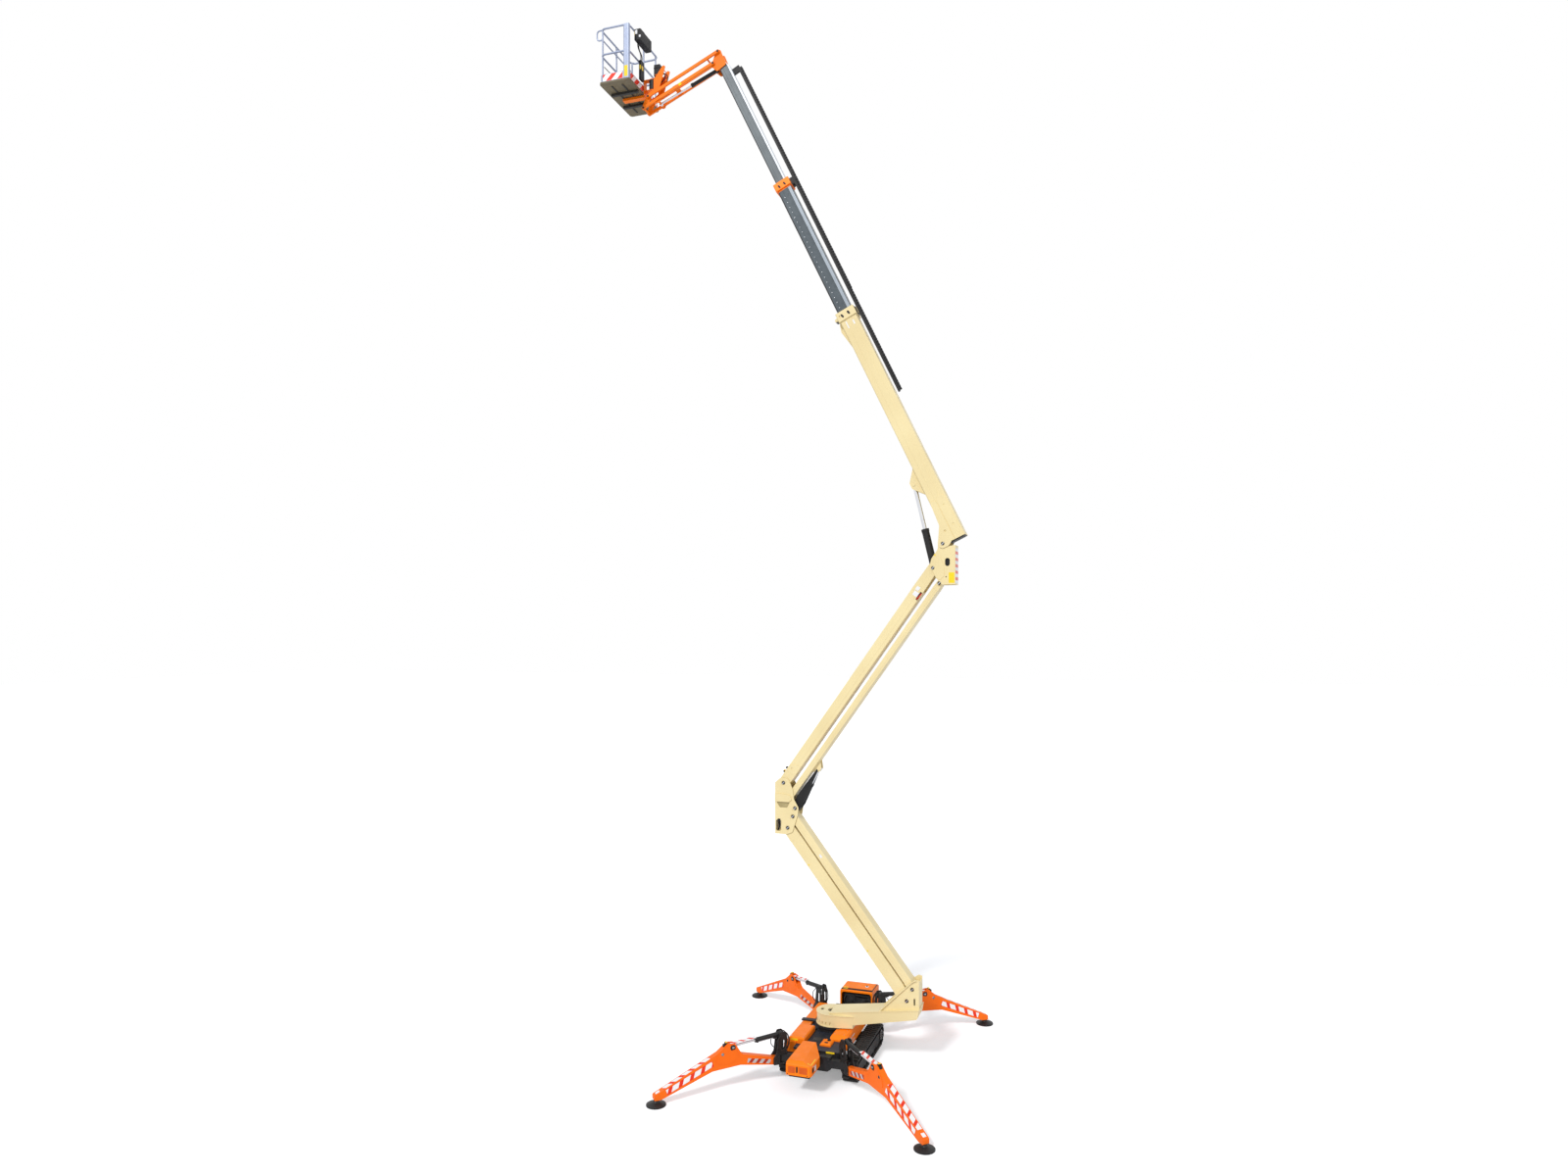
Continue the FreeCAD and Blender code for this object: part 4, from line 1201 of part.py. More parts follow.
toe_boards = flat_plate(basket_outline(8.0, 90.0), FLOOR_TOP, FLOOR_TOP + TOE_HEIGHT)
toe_boards = toe_boards.cut(flat_plate(basket_outline(8.0 + TOE_BOARD, 90.0 - TOE_BOARD), FLOOR_TOP - 1.0,
                                       FLOOR_TOP + TOE_HEIGHT + 1.0))
frame_pieces.append(toe_boards)
nodes["basket_frame"] = fuse(frame_pieces)

# Controls: console over the jib-side rail near the front end, and a flat panel box below it
RAIL_FACE_X = BASKET_RIGHT_X - RAIL_INSET + RAIL_TUBE_RADIUS
console = box(RAIL_FACE_X, BASKET_RIGHT_X + 125.0, -450.0, 60.0, RAIL_TOP - 210.0, RAIL_TOP + 10.0)
nodes["basket_console"] = console
nodes["basket_panel"] = box(RAIL_FACE_X, BASKET_RIGHT_X + 40.0, -250.0, -110.0, FLOOR_TOP + 180.0,
                            FLOOR_TOP + 570.0)

for name, shape in nodes.items():
    placed = shape.copy()
    placed.translate(Vector(SLEW_X, SLEW_Y, 0))
    placed.exportStep("parts/%s.step" % name)
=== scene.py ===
import bpy
import bmesh
import json
import math
from mathutils import Matrix, Vector


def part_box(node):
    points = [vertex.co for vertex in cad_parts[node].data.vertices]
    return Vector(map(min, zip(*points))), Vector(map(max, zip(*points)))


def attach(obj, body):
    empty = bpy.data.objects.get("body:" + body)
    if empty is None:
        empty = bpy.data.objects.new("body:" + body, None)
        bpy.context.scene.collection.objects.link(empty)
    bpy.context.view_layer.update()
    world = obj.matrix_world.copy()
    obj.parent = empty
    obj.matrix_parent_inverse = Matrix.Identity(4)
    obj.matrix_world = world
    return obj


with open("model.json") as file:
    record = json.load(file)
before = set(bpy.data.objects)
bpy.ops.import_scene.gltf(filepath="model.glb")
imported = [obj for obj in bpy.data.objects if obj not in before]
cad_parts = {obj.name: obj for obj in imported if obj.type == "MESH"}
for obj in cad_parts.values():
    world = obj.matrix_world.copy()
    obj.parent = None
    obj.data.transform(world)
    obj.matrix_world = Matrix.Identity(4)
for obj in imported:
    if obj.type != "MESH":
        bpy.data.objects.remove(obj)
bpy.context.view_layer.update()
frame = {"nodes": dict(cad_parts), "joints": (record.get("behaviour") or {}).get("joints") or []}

# Camera, light and floor
# The photographer stands in front of the hood with a wide lens, level with the lower booms. A high sun and a
# soft fill light the machine, and the floor and the sky are plain white, with the shadow left on the floor.
CAMERA_PLACE = (6.67, -19.15, 8.3)
CAMERA_TURN = 19.0
CAMERA_LENS = 23.6
CAMERA_SHIFT = 0.028
AMBIENT_COLOUR = (0.92, 0.95, 1.0, 1.0)
AMBIENT_STRENGTH = 0.55
WHITE = (1.0, 1.0, 1.0, 1.0)
FLOOR_COLOUR = (0.86, 0.86, 0.87, 1.0)
FLOOR_GLOW = (0.30, 0.30, 0.30, 1.0)
FLOOR_HALF = 160.0


def placed(name, data):
    """An object in the scene for a mesh, a curve, a lamp or the camera."""
    thing = bpy.data.objects.new(name, data)
    bpy.context.scene.collection.objects.link(thing)
    return thing


def lamp(name, strength, size_angle, turn):
    """A soft distant lamp, turned in degrees."""
    data = bpy.data.lights.new(name, "SUN")
    data.energy = strength
    data.angle = math.radians(size_angle)
    placed(name, data).rotation_euler = [math.radians(angle) for angle in turn]


def wired(tree, *wires):
    """Joins sockets of a node tree; each wire is a node, its output, the next node and its input."""
    for source, output, target, entry in wires:
        tree.links.new(source.outputs[output], target.inputs[entry])


camera_data = bpy.data.cameras.new("camera")
camera_data.lens = CAMERA_LENS
camera_data.shift_y = CAMERA_SHIFT
camera = placed("camera", camera_data)
camera.location = CAMERA_PLACE
camera.rotation_euler = (math.radians(90.0), 0.0, math.radians(CAMERA_TURN))
bpy.context.scene.camera = camera
bpy.context.scene.view_settings.view_transform = "Standard"
lamp("key_lamp", strength=2.0, size_angle=8.0, turn=(50.0, 0.0, -12.0))
lamp("fill_lamp", strength=0.5, size_angle=60.0, turn=(60.0, 0.0, 75.0))

world = bpy.data.worlds.new("studio")
bpy.context.scene.world = world
world.use_nodes = True
nodes = world.node_tree.nodes
nodes.clear()
path = nodes.new("ShaderNodeLightPath")
seen = nodes.new("ShaderNodeMath")
mirrored = nodes.new("ShaderNodeMath")
for either in (seen, mirrored):
    either.operation = "MAXIMUM"
ambient = nodes.new("ShaderNodeBackground")
ambient.inputs["Color"].default_value = AMBIENT_COLOUR
ambient.inputs["Strength"].default_value = AMBIENT_STRENGTH
white = nodes.new("ShaderNodeBackground")
white.inputs["Color"].default_value = WHITE
mix = nodes.new("ShaderNodeMixShader")
sky = nodes.new("ShaderNodeOutputWorld")
wired(world.node_tree, (path, "Is Camera Ray", seen, 0), (path, "Is Transmission Ray", seen, 1),
      (seen, 0, mirrored, 0), (path, "Is Glossy Ray", mirrored, 1), (mirrored, 0, mix, 0),
      (ambient, 0, mix, 1), (white, 0, mix, 2), (mix, 0, sky, "Surface"))

floor_mesh = bpy.data.meshes.new("floor")
floor_corners = [(-FLOOR_HALF, -FLOOR_HALF, 0.0), (FLOOR_HALF, -FLOOR_HALF, 0.0),
                 (FLOOR_HALF, FLOOR_HALF, 0.0), (-FLOOR_HALF, FLOOR_HALF, 0.0)]
floor_mesh.from_pydata(floor_corners, [], [(0, 1, 2, 3)])
material = bpy.data.materials.new("studio_floor")
material.use_nodes = True
shader = material.node_tree.nodes["Principled BSDF"]
shader.inputs["Base Color"].default_value = FLOOR_COLOUR
shader.inputs["Roughness"].default_value = 0.9
shader.inputs["Specular IOR Level"].default_value = 0.1
shader.inputs["Emission Color"].default_value = FLOOR_GLOW
glow = material.node_tree.nodes.new("ShaderNodeLightPath")
wired(material.node_tree, (glow, "Is Camera Ray", shader, "Emission Strength"))
floor_mesh.materials.append(material)
placed("floor", floor_mesh)


# Cream booms
# Welded box beams and plates of pressed steel, sprayed with a thick cream enamel: turret with its arm, both
# parallelograms, knuckle, head bracket and main boom. The coat varies a little and is dusty in places.
CREAM = (0.83, 0.70, 0.385)
CREAM_DUSTY = (0.74, 0.60, 0.31)
CREAM_PATCH = 0.9
BLACK = (0.011, 0.011, 0.012)
BARE_STEEL = (0.35, 0.34, 0.33)
NOISE_SPAN = (0.3, 0.7)     # the part of a noise that is spread over a cloud's range
GLOSS_SPAN = (-0.06, 0.1)   # how far the roughness wanders
FLECK_SCALE = 38.0
GRAIN_HEIGHT = 0.002
MAIN_ANGLE = 116.0
UPPER_ANGLE = 54.6
LOWER_ANGLE = 127.2
X, Y, Z = 0, 1, 2


def finish(name, colour, dusty, roughness=0.36, metallic=0.0, patch=1.4, grain=90.0, depth=0.12, worn=0.0,
           bare=BARE_STEEL, shine=0.5):
    """Surface with clouds of a second colour, a fine grain, uneven gloss and small worn flecks."""
    made = bpy.data.materials.new(name)
    made.use_nodes = True
    tree = made.node_tree
    surface = tree.nodes["Principled BSDF"]
    surface.inputs["Metallic"].default_value = metallic
    surface.inputs["Specular IOR Level"].default_value = shine
    place = tree.nodes.new("ShaderNodeTexCoord")

    def cloud(scale, detail, low, high):
        noise = tree.nodes.new("ShaderNodeTexNoise")
        noise.inputs["Scale"].default_value = scale
        noise.inputs["Detail"].default_value = detail
        spread = tree.nodes.new("ShaderNodeMapRange")
        spread.inputs["From Min"].default_value, spread.inputs["From Max"].default_value = NOISE_SPAN
        spread.inputs["To Min"].default_value = low
        spread.inputs["To Max"].default_value = high
        wired(tree, (place, "Object", noise, "Vector"), (noise, "Fac", spread, "Value"))
        return spread.outputs["Result"]

    def blended(factor, first, second):
        node = tree.nodes.new("ShaderNodeMix")
        node.data_type = "RGBA"
        tree.links.new(factor, node.inputs[0])
        for socket, value in ((node.inputs[6], first), (node.inputs[7], second)):
            if isinstance(value, tuple):
                socket.default_value = (*value, 1.0)
            else:
                tree.links.new(value, socket)
        return node.outputs[2]

    shown = blended(cloud(patch, 5.0, 0.0, 1.0), colour, dusty)
    if worn:
        fleck = cloud(FLECK_SCALE, 8.0, -8.0 + 9.0 * worn, 3.0 * worn)
        shown = blended(fleck, shown, bare)
    tree.links.new(shown, surface.inputs["Base Color"])
    gloss = cloud(patch * 4.0, 3.0, roughness + GLOSS_SPAN[0], roughness + GLOSS_SPAN[1])
    tree.links.new(gloss, surface.inputs["Roughness"])
    bump = tree.nodes.new("ShaderNodeBump")
    bump.inputs["Strength"].default_value = depth
    bump.inputs["Distance"].default_value = GRAIN_HEIGHT
    tree.links.new(cloud(grain, 2.0, 0.0, 1.0), bump.inputs["Height"])
    wired(tree, (bump, "Normal", surface, "Normal"))
    return made


def zone(material, colour, place, *spans, stripes=None):
    """Another colour inside a box of a frame, in stripes if given as (direction, pitch, bare share).

    Each span is an axis of the frame with its low and high end."""
    tree = material.node_tree
    base = tree.nodes["Principled BSDF"].inputs["Base Color"]
    before = base.links[0].from_socket
    point = tree.nodes.new("ShaderNodeTexCoord")
    turned = place.to_3x3()
    total = None

    def step(operation, first, second):
        node = tree.nodes.new("ShaderNodeMath")
        node.operation = operation
        for socket, value in zip(node.inputs, (first, second)):
            if isinstance(value, float):
                socket.default_value = value
            else:
                tree.links.new(value, socket)
        return node.outputs[0]

    def distance(direction):
        dot = tree.nodes.new("ShaderNodeVectorMath")
        dot.operation = "DOT_PRODUCT"
        dot.inputs[1].default_value = direction
        wired(tree, (point, "Object", dot, 0))
        return dot.outputs["Value"]

    for axis, low, high in spans:
        direction = turned.col[axis].normalized()
        start = place.translation.dot(direction)
        along = distance(direction)
        above = step("GREATER_THAN", along, start + low)
        inside = step("MULTIPLY", above, step("LESS_THAN", along, start + high))
        total = inside if total is None else step("MULTIPLY", total, inside)
    if stripes:
        direction, pitch, bare_share = stripes
        leaning = (turned @ Vector(direction)).normalized()
        turn = step("FRACT", step("DIVIDE", distance(leaning), pitch), 0.0)
        total = step("MULTIPLY", total, step("GREATER_THAN", turn, bare_share))
    node = tree.nodes.new("ShaderNodeMix")
    node.data_type = "RGBA"
    tree.links.new(total, node.inputs[0])
    tree.links.new(before, node.inputs[6])
    node.inputs[7].default_value = (*colour, 1.0)
    tree.links.new(node.outputs[2], base)


def coat(material, *names):
    """Gives solids of the frame their finish."""
    for name in names:
        mesh = frame["nodes"][name].data
        mesh.materials.clear()
        mesh.materials.append(material)


def boom_frame(pin, degrees):
    """Frame at a pin: X along the boom, Y sideways, Z across it."""
    return Matrix.Translation(pin) @ Matrix.Rotation(math.radians(-degrees), 4, "Y")


pins = {joint["name"]: Vector(joint["pos_m"]) for joint in frame["joints"] if "pos_m" in joint}
deck = Matrix.Translation(pins["slew"])
main = boom_frame(pins["main_boom_luff"], MAIN_ANGLE)
upper = boom_frame(pins["upper_boom_luff"], UPPER_ANGLE)
lower = boom_frame(pins["lower_boom_luff"], LOWER_ANGLE)
cream = finish("cream_enamel", CREAM, CREAM_DUSTY, patch=CREAM_PATCH)
coat(cream, "turret", "lower_beam", "lower_tie", "knuckle", "upper_beam", "upper_tie", "head_bracket")
main_cream = finish("main_boom_enamel", CREAM, CREAM_DUSTY, patch=CREAM_PATCH)
# openings in the belly of collar and tube, painted black as their shade: span along the boom, half width and
# innermost distance
for span, half_width, inner in (((4.80, 4.90), 0.0699, -0.078), ((4.509, 4.583), 0.0575, -0.1065)):
    zone(main_cream, BLACK, main, (X, *span), (Y, -half_width, half_width), (Z, inner, 0.1))
coat(main_cream, "main_boom")


# Closing plate of the main boom
# Black plate across the open lower end of the tube.
SIDES = (-1.0, 1.0)
FORE = (0.0, -1.0, 0.0)
AFT = (0.0, 1.0, 0.0)
RISE = (0.0, 0.0, 1.0)
RIGHT = (1.0, 0.0, 0.0)
WORLD = Matrix.Identity(4)
WELD = 0.00002
SHARP_ANGLE = math.radians(35.0)


def block(mesh, low, high):
    """Box between two corners, in a bmesh."""
    corners = [mesh.verts.new((x, y, z)) for z in (low[2], high[2]) for y in (low[1], high[1])
               for x in (low[0], high[0])]
    for face in ((0, 2, 3, 1), (4, 5, 7, 6), (0, 1, 5, 4), (2, 6, 7, 3), (0, 4, 6, 2), (1, 3, 7, 5)):
        mesh.faces.new([corners[i] for i in face])


def twin_blocks(mesh, low, high):
    """A box on the far side and its mirror image on the near side."""
    block(mesh, low, high)
    block(mesh, (low[0], -high[1], low[2]), (high[0], -low[1], high[2]))


def prism(mesh, outline, y0, y1):
    """An outline in XZ, pushed along Y."""
    near = [mesh.verts.new((x, y0, z)) for x, z in outline]
    far = [mesh.verts.new((x, y1, z)) for x, z in outline]
    mesh.faces.new(near)
    mesh.faces.new(far[::-1])
    for i in range(len(outline)):
        mesh.faces.new((near[i - 1], far[i - 1], far[i], near[i]))


def twin_prisms(mesh, outline, inner, outer):
    """An outline pushed outwards on both sides, from an inner to an outer distance."""
    prism(mesh, outline, -outer, -inner)
    prism(mesh, outline, inner, outer)


def drum(mesh, centre, direction, radius, length, sides=24, tip=None):
    """Round bar from a centre along a direction, tapered to a tip radius if one is given."""
    turn = Vector(direction).to_track_quat("Z", "Y").to_matrix().to_4x4()
    place = Matrix.Translation(Vector(centre) + Vector(direction).normalized() * length / 2) @ turn
    bmesh.ops.create_cone(mesh, cap_ends=True, segments=sides, radius1=radius,
                          radius2=radius if tip is None else tip, depth=length, matrix=place)


def twin_drums(mesh, centre, radius, length, sides=24, tip=None):
    """The same round bar on both sides, each standing outwards."""
    for side in SIDES:
        drum(mesh, (centre[0], side * centre[1], centre[2]), (0.0, side, 0.0), radius, length, sides, tip)


def piece(name, mesh, place, material, body, bevel=0.0, bevel_steps=2):
    """Finished object from a bmesh drawn in a frame: normals set, edges broken, riding on a body."""
    bmesh.ops.transform(mesh, matrix=place, verts=mesh.verts)
    bmesh.ops.remove_doubles(mesh, verts=mesh.verts, dist=WELD)
    bmesh.ops.recalc_face_normals(mesh, faces=mesh.faces)
    data = bpy.data.meshes.new(name)
    mesh.to_mesh(data)
    mesh.free()
    data.materials.append(material)
    data.shade_smooth()
    data.set_sharp_from_angle(angle=SHARP_ANGLE)
    thing = placed(name, data)
    if bevel:
        edge = thing.modifiers.new("edges", "BEVEL")
        edge.width = bevel
        edge.segments = bevel_steps
        edge.limit_method = "ANGLE"
        edge.angle_limit = SHARP_ANGLE
    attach(thing, body)


black_paint = finish("black_paint", BLACK, (0.022, 0.021, 0.02), roughness=0.42, worn=0.12, shine=0.25)
closing = bmesh.new()
block(closing, (-0.036, -0.158, -0.437), (-0.029, 0.158, -0.117))
block(closing, (-0.044, -0.12, -0.40), (-0.036, 0.12, -0.155))
piece("boom_end_plate", closing, main, black_paint, "main_boom", bevel=0.003)


# Wear pad covers of the collars
# Small black oval plates on both side faces of each collar, slanted a little, with the plastic pads behind.
COVER_HALF_LENGTH = 0.040
COVER_HALF_WIDTH = 0.021
COVER_SLANT = 0.25
COVER_POINTS = 16
COVER_NEAR = 0.006      # how far a cover reaches from its face towards the near side
COVER_THICKNESS = 0.010
# body, name, distance of the collar's side face, place along the boom, places across it
COLLARS = [("main_boom", "main_collar_covers", 0.1915, 4.825, (-0.20, -0.335)),
           ("extension_1", "first_collar_covers", 0.1615, 7.795, (-0.21, -0.33))]
for body, name, face, middle, places in COLLARS:
    covers = bmesh.new()
    for across in places:
        outline = []
        for i in range(COVER_POINTS):
            around = math.tau * i / COVER_POINTS
            along = COVER_HALF_LENGTH * math.cos(around)
            up = across + COVER_HALF_WIDTH * math.sin(around) + COVER_SLANT * along
            outline.append((middle + along, up))
        for side in SIDES:
            near = side * face - COVER_NEAR
            prism(covers, outline, near, near + COVER_THICKNESS)
    piece(name, covers, main, black_paint, body, bevel=0.002)


# Orange covers and jib
# Moulded hoods and pressed covers in orange, and the welded jib in an orange enamel. The rear hood's mouth is
# painted near black inside as shade, and a yellow plate sits on the lower bars of the jib.
ORANGE = (0.98, 0.215, 0.004)
ORANGE_DUSTY = (0.86, 0.175, 0.004)
MOULDED_DUSTY = (0.90, 0.19, 0.004)
ENAMEL = {"roughness": 0.33, "patch": 1.2, "shine": 0.18}
WORN_ENAMEL = {**ENAMEL, "worn": 0.05, "bare": (0.3, 0.07, 0.01)}
MOULDING = {"roughness": 0.4, "patch": 2.0, "grain": 220.0, "depth": 0.2, "shine": 0.18}
JIB_ANGLE = 202.6
HOOD_MOUTH_SHADE = ((X, -0.2375, 0.4275), (Y, 1.4305, 1.96), (Z, 0.4, 0.8795))
orange = finish("orange_enamel", ORANGE, ORANGE_DUSTY, **WORN_ENAMEL)
moulded = finish("orange_moulding", ORANGE, MOULDED_DUSTY, **MOULDING)
hood_shell = finish("rear_hood_moulding", ORANGE, MOULDED_DUSTY, **MOULDING)
coat(moulded, "front_hood", "left_side_box", "right_side_cover", "deck_control_cover")
coat(orange, "jib_knuckle", "jib_link", "basket_support", "jib_upper_bars")
# Near black inside the rear hood's mouth: painted shade.
zone(hood_shell, (0.014, 0.013, 0.013), deck, *HOOD_MOUTH_SHADE)
coat(hood_shell, "rear_hood")
bars = finish("jib_bar_enamel", ORANGE, ORANGE_DUSTY, **ENAMEL)
jib = boom_frame(pins["jib_luff"], JIB_ANGLE)
zone(bars, (0.9, 0.62, 0.01), jib, (X, 0.93, 0.99), (Y, -0.2, -0.157))
coat(bars, "jib_lower_bars")


# Undercarriage
# Black steel frame and brackets, a dark grey deck of non-slip plate, and rubber tracks that are dusty where
# they roll.
CORNERS = {"front_left": 223.0, "front_right": -43.0, "rear_right": 37.0, "rear_left": 143.0}
frame_black = finish("frame_black", (0.011, 0.011, 0.013), (0.028, 0.027, 0.026), roughness=0.5, patch=2.2,
                     worn=0.14, shine=0.22)
zone(frame_black, (0.026, 0.03, 0.042), deck, (Z, 0.5995, 0.601), (X, -0.43, 0.43))
coat(frame_black, "chassis_frame", "track_frame_left", "track_frame_right")
for part in ("outrigger_bracket_", "outrigger_barrel_", "outrigger_foot_"):
    coat(black_paint, *[part + corner for corner in CORNERS])
# The riser barrel's black guard plate is partly painted shade, filling the dark between the barrel and the
# beam above it.
coat(black_paint, "riser_barrel", "lift_barrel", "jib_barrel", "rotator", "carrier_rail_1", "carrier_rail_2")
engine_grey = finish("engine_casting", (0.012, 0.012, 0.013), (0.035, 0.035, 0.037), roughness=0.6, patch=9.0,
                     grain=140.0, depth=0.5, shine=0.25)
coat(engine_grey, "engine_block")
rubber = finish("track_rubber", (0.010, 0.010, 0.010), (0.034, 0.032, 0.03), roughness=0.62, patch=7.0,
                grain=60.0, depth=0.5, worn=0.12, bare=(0.16, 0.15, 0.14), shine=0.25)
coat(rubber, "track_left", "track_right")
chrome = finish("chrome_rod", (0.78, 0.79, 0.82), (0.7, 0.71, 0.74), roughness=0.14, metallic=1.0, patch=3.0,
                grain=300.0, depth=0.02)
coat(chrome, "riser_rod", "lift_rod", "jib_rod")


# Telescope
# Two inner booms of slate grey greased steel, with painted shade along the dark rolled edges and a painted
# highlight as a long bright band on each tube. The collar of the first is orange.
EDGE_SHADE = (0.02, 0.022, 0.024)
FIRST_TUBE = (X, 3.0, 7.70)
GREASED = {"roughness": 0.34, "metallic": 0.25, "patch": 2.6, "grain": 160.0, "depth": 0.08}
steel = finish("telescope_steel", (0.07, 0.088, 0.1), (0.048, 0.062, 0.073), **GREASED)
# Painted shade along the rolled edge, a painted highlight as a bright band along the tube, and a thin line of
# painted shade beside it.
zone(steel, EDGE_SHADE, main, (Z, -0.160, -0.12))
zone(steel, (0.30, 0.34, 0.38), main, (Z, -0.412, -0.352), FIRST_TUBE)
zone(steel, EDGE_SHADE, main, (Z, -0.352, -0.344), FIRST_TUBE)
zone(steel, ORANGE, main, (X, 7.7085, 7.9))
coat(steel, "extension_1")
second_steel = finish("second_boom_steel", (0.125, 0.145, 0.155), (0.095, 0.11, 0.12), **GREASED)
# Painted shade along the rolled edge, a painted highlight as a bright band, and a thin line of painted shade
# beside it.
zone(second_steel, EDGE_SHADE, main, (Z, -0.192, -0.16))
zone(second_steel, (0.62, 0.66, 0.71), main, (Z, -0.39, -0.345))
zone(second_steel, EDGE_SHADE, main, (Z, -0.345, -0.334))
coat(second_steel, "extension_2")


# Rivets of the first inner boom
# A line of flush rivets holds the hidden chain guide to the tube's side. A node tree repeats the rivet, and
# it serves the links, slats and ribs further down as well.
RIVETS = 23
RIVET_PITCH = 0.115
RIVET_START = (5.02, 0.0, -0.215)
TUBE_FACE = 0.1345


def repeating_tree(name, inputs):
    """Node tree with named inputs that repeats a shape on points, makes it real and gives it its material."""
    tree = bpy.data.node_groups.new(name, "GeometryNodeTree")
    face = tree.interface
    face.new_socket("Geometry", in_out="OUTPUT", socket_type="NodeSocketGeometry")
    sockets = [face.new_socket(label, in_out="INPUT", socket_type="NodeSocket" + kind)
               for label, kind in (*inputs, ("Material", "Material"))]
    given = tree.nodes.new("NodeGroupInput")
    result = tree.nodes.new("NodeGroupOutput")
    repeat = tree.nodes.new("GeometryNodeInstanceOnPoints")
    real = tree.nodes.new("GeometryNodeRealizeInstances")
    paint = tree.nodes.new("GeometryNodeSetMaterial")
    wired(tree, (repeat, "Instances", real, "Geometry"), (real, "Geometry", paint, "Geometry"),
          (given, "Material", paint, "Material"), (paint, "Geometry", result, "Geometry"))
    return tree, given, repeat, {socket.name: socket.identifier for socket in sockets}


ROW, given, repeat, ROW_INPUTS = repeating_tree("row", (("Piece", "Geometry"), ("Count", "Int"),
                                                         ("Step", "Vector")))
line = ROW.nodes.new("GeometryNodeMeshLine")
line.mode = "OFFSET"
wired(ROW, (given, "Count", line, "Count"), (given, "Step", line, "Offset"), (line, "Mesh", repeat, "Points"),
      (given, "Piece", repeat, "Instance"))


def plain_mesh(holder, name):
    """The mesh that a holder's nodes or curve make, kept as a plain mesh; the holder goes."""
    bpy.context.view_layer.update()
    ready = holder.evaluated_get(bpy.context.evaluated_depsgraph_get())
    data = bpy.data.meshes.new_from_object(ready)
    data.name = name
    bpy.data.objects.remove(holder)
    return data


def grown(name, seed, tree, values, place, body):
    """Runs a node tree on a small mesh and keeps its result as a plain mesh that rides on a body."""
    holder = placed(name + "_seed", seed)
    modifier = holder.modifiers.new("grow", "NODES")
    modifier.node_group = tree
    for identifier, value in values.items():
        modifier[identifier] = value
    data = plain_mesh(holder, name)
    data.transform(place)
    data.shade_smooth()
    data.set_sharp_from_angle(angle=SHARP_ANGLE)
    thing = placed(name, data)
    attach(thing, body)


def row(name, mesh, count, step, place, material, body):
    """The same small piece, repeated along a line."""
    seed = bpy.data.meshes.new(name + "_seed")
    bmesh.ops.recalc_face_normals(mesh, faces=mesh.faces)
    mesh.to_mesh(seed)
    mesh.free()
    values = {ROW_INPUTS["Count"]: count, ROW_INPUTS["Step"]: step, ROW_INPUTS["Material"]: material}
    grown(name, seed, ROW, values, place, body)


bright = finish("bright_zinc", (0.55, 0.56, 0.58), (0.42, 0.43, 0.45), roughness=0.3, metallic=0.9,
                patch=14.0, grain=200.0, depth=0.1)
rivet = bmesh.new()
twin_drums(rivet, (0.0, TUBE_FACE, 0.0), 0.009, 0.0022, 12, 0.005)
row("boom_rivets", rivet, RIVETS, (RIVET_PITCH, 0.0, 0.0), main @ Matrix.Translation(RIVET_START), bright,
    "extension_1")


# Cable carrier
# Black plastic carrier of hinged links along the right side of the telescope: each length lies on the rail of
# its inner boom, and slides past the collars in short guides.
LINK_PITCH = 0.058
CARRIER_LOW = -0.54
plastic = finish("black_plastic", (0.009, 0.009, 0.010), (0.018, 0.018, 0.02), roughness=0.48, patch=5.0,
                 grain=260.0, depth=0.15, shine=0.22)
LINK_OUTLINE = [(0.002, -0.045), (0.040, -0.045), (0.052, -0.034), (0.052, -0.006), (0.004, -0.006)]
# name, body, start and end along the boom, distance sideways
CARRIERS = [("first_cable_carrier", "extension_1", 3.02, 7.87, -0.045),
            ("second_cable_carrier", "extension_2", 5.32, 10.58, 0.045)]
for name, body, start, end, side in CARRIERS:
    link = bmesh.new()
    block(link, (0.0, -0.025, -0.020), (0.050, 0.025, 0.0))
    twin_prisms(link, LINK_OUTLINE, 0.021, 0.029)
    block(link, (0.014, -0.024, -0.043), (0.030, 0.024, -0.036))
    row(name, link, int((end - start) / LINK_PITCH), (LINK_PITCH, 0.0, 0.0),
        main @ Matrix.Translation((start, side, CARRIER_LOW)), plastic, body)
guides = bmesh.new()
prism(guides, [(4.75, -0.4705), (4.78, -0.494), (4.89, -0.494), (4.92, -0.4705)], -0.085, 0.085)
piece("carrier_guide_main", guides, main, plastic, "main_boom", bevel=0.003)
guides = bmesh.new()
prism(guides, [(7.73, -0.443), (7.75, -0.494), (7.86, -0.494), (7.88, -0.443)], 0.005, 0.09)
piece("carrier_guide_first", guides, main, plastic, "extension_1", bevel=0.003)


# Basket
# Welded aluminium tube and sheet, anodised to a pale lavender, with red and white warning stripes on its toe
# boards. The floor is grey on top and khaki below it, and its bars further down are near black.
SIGN_RED = (0.78, 0.035, 0.012)
SIGN_WHITE = (0.86, 0.86, 0.86)
basket_low, basket_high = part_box("basket_floor")
FLOOR_TOP = basket_high.z


def warning(material, ground, red, stripes, place, *spans):
    """Band of a plain ground colour with red stripes across it."""
    zone(material, ground, place, *spans)
    zone(material, red, place, *spans, stripes=stripes)


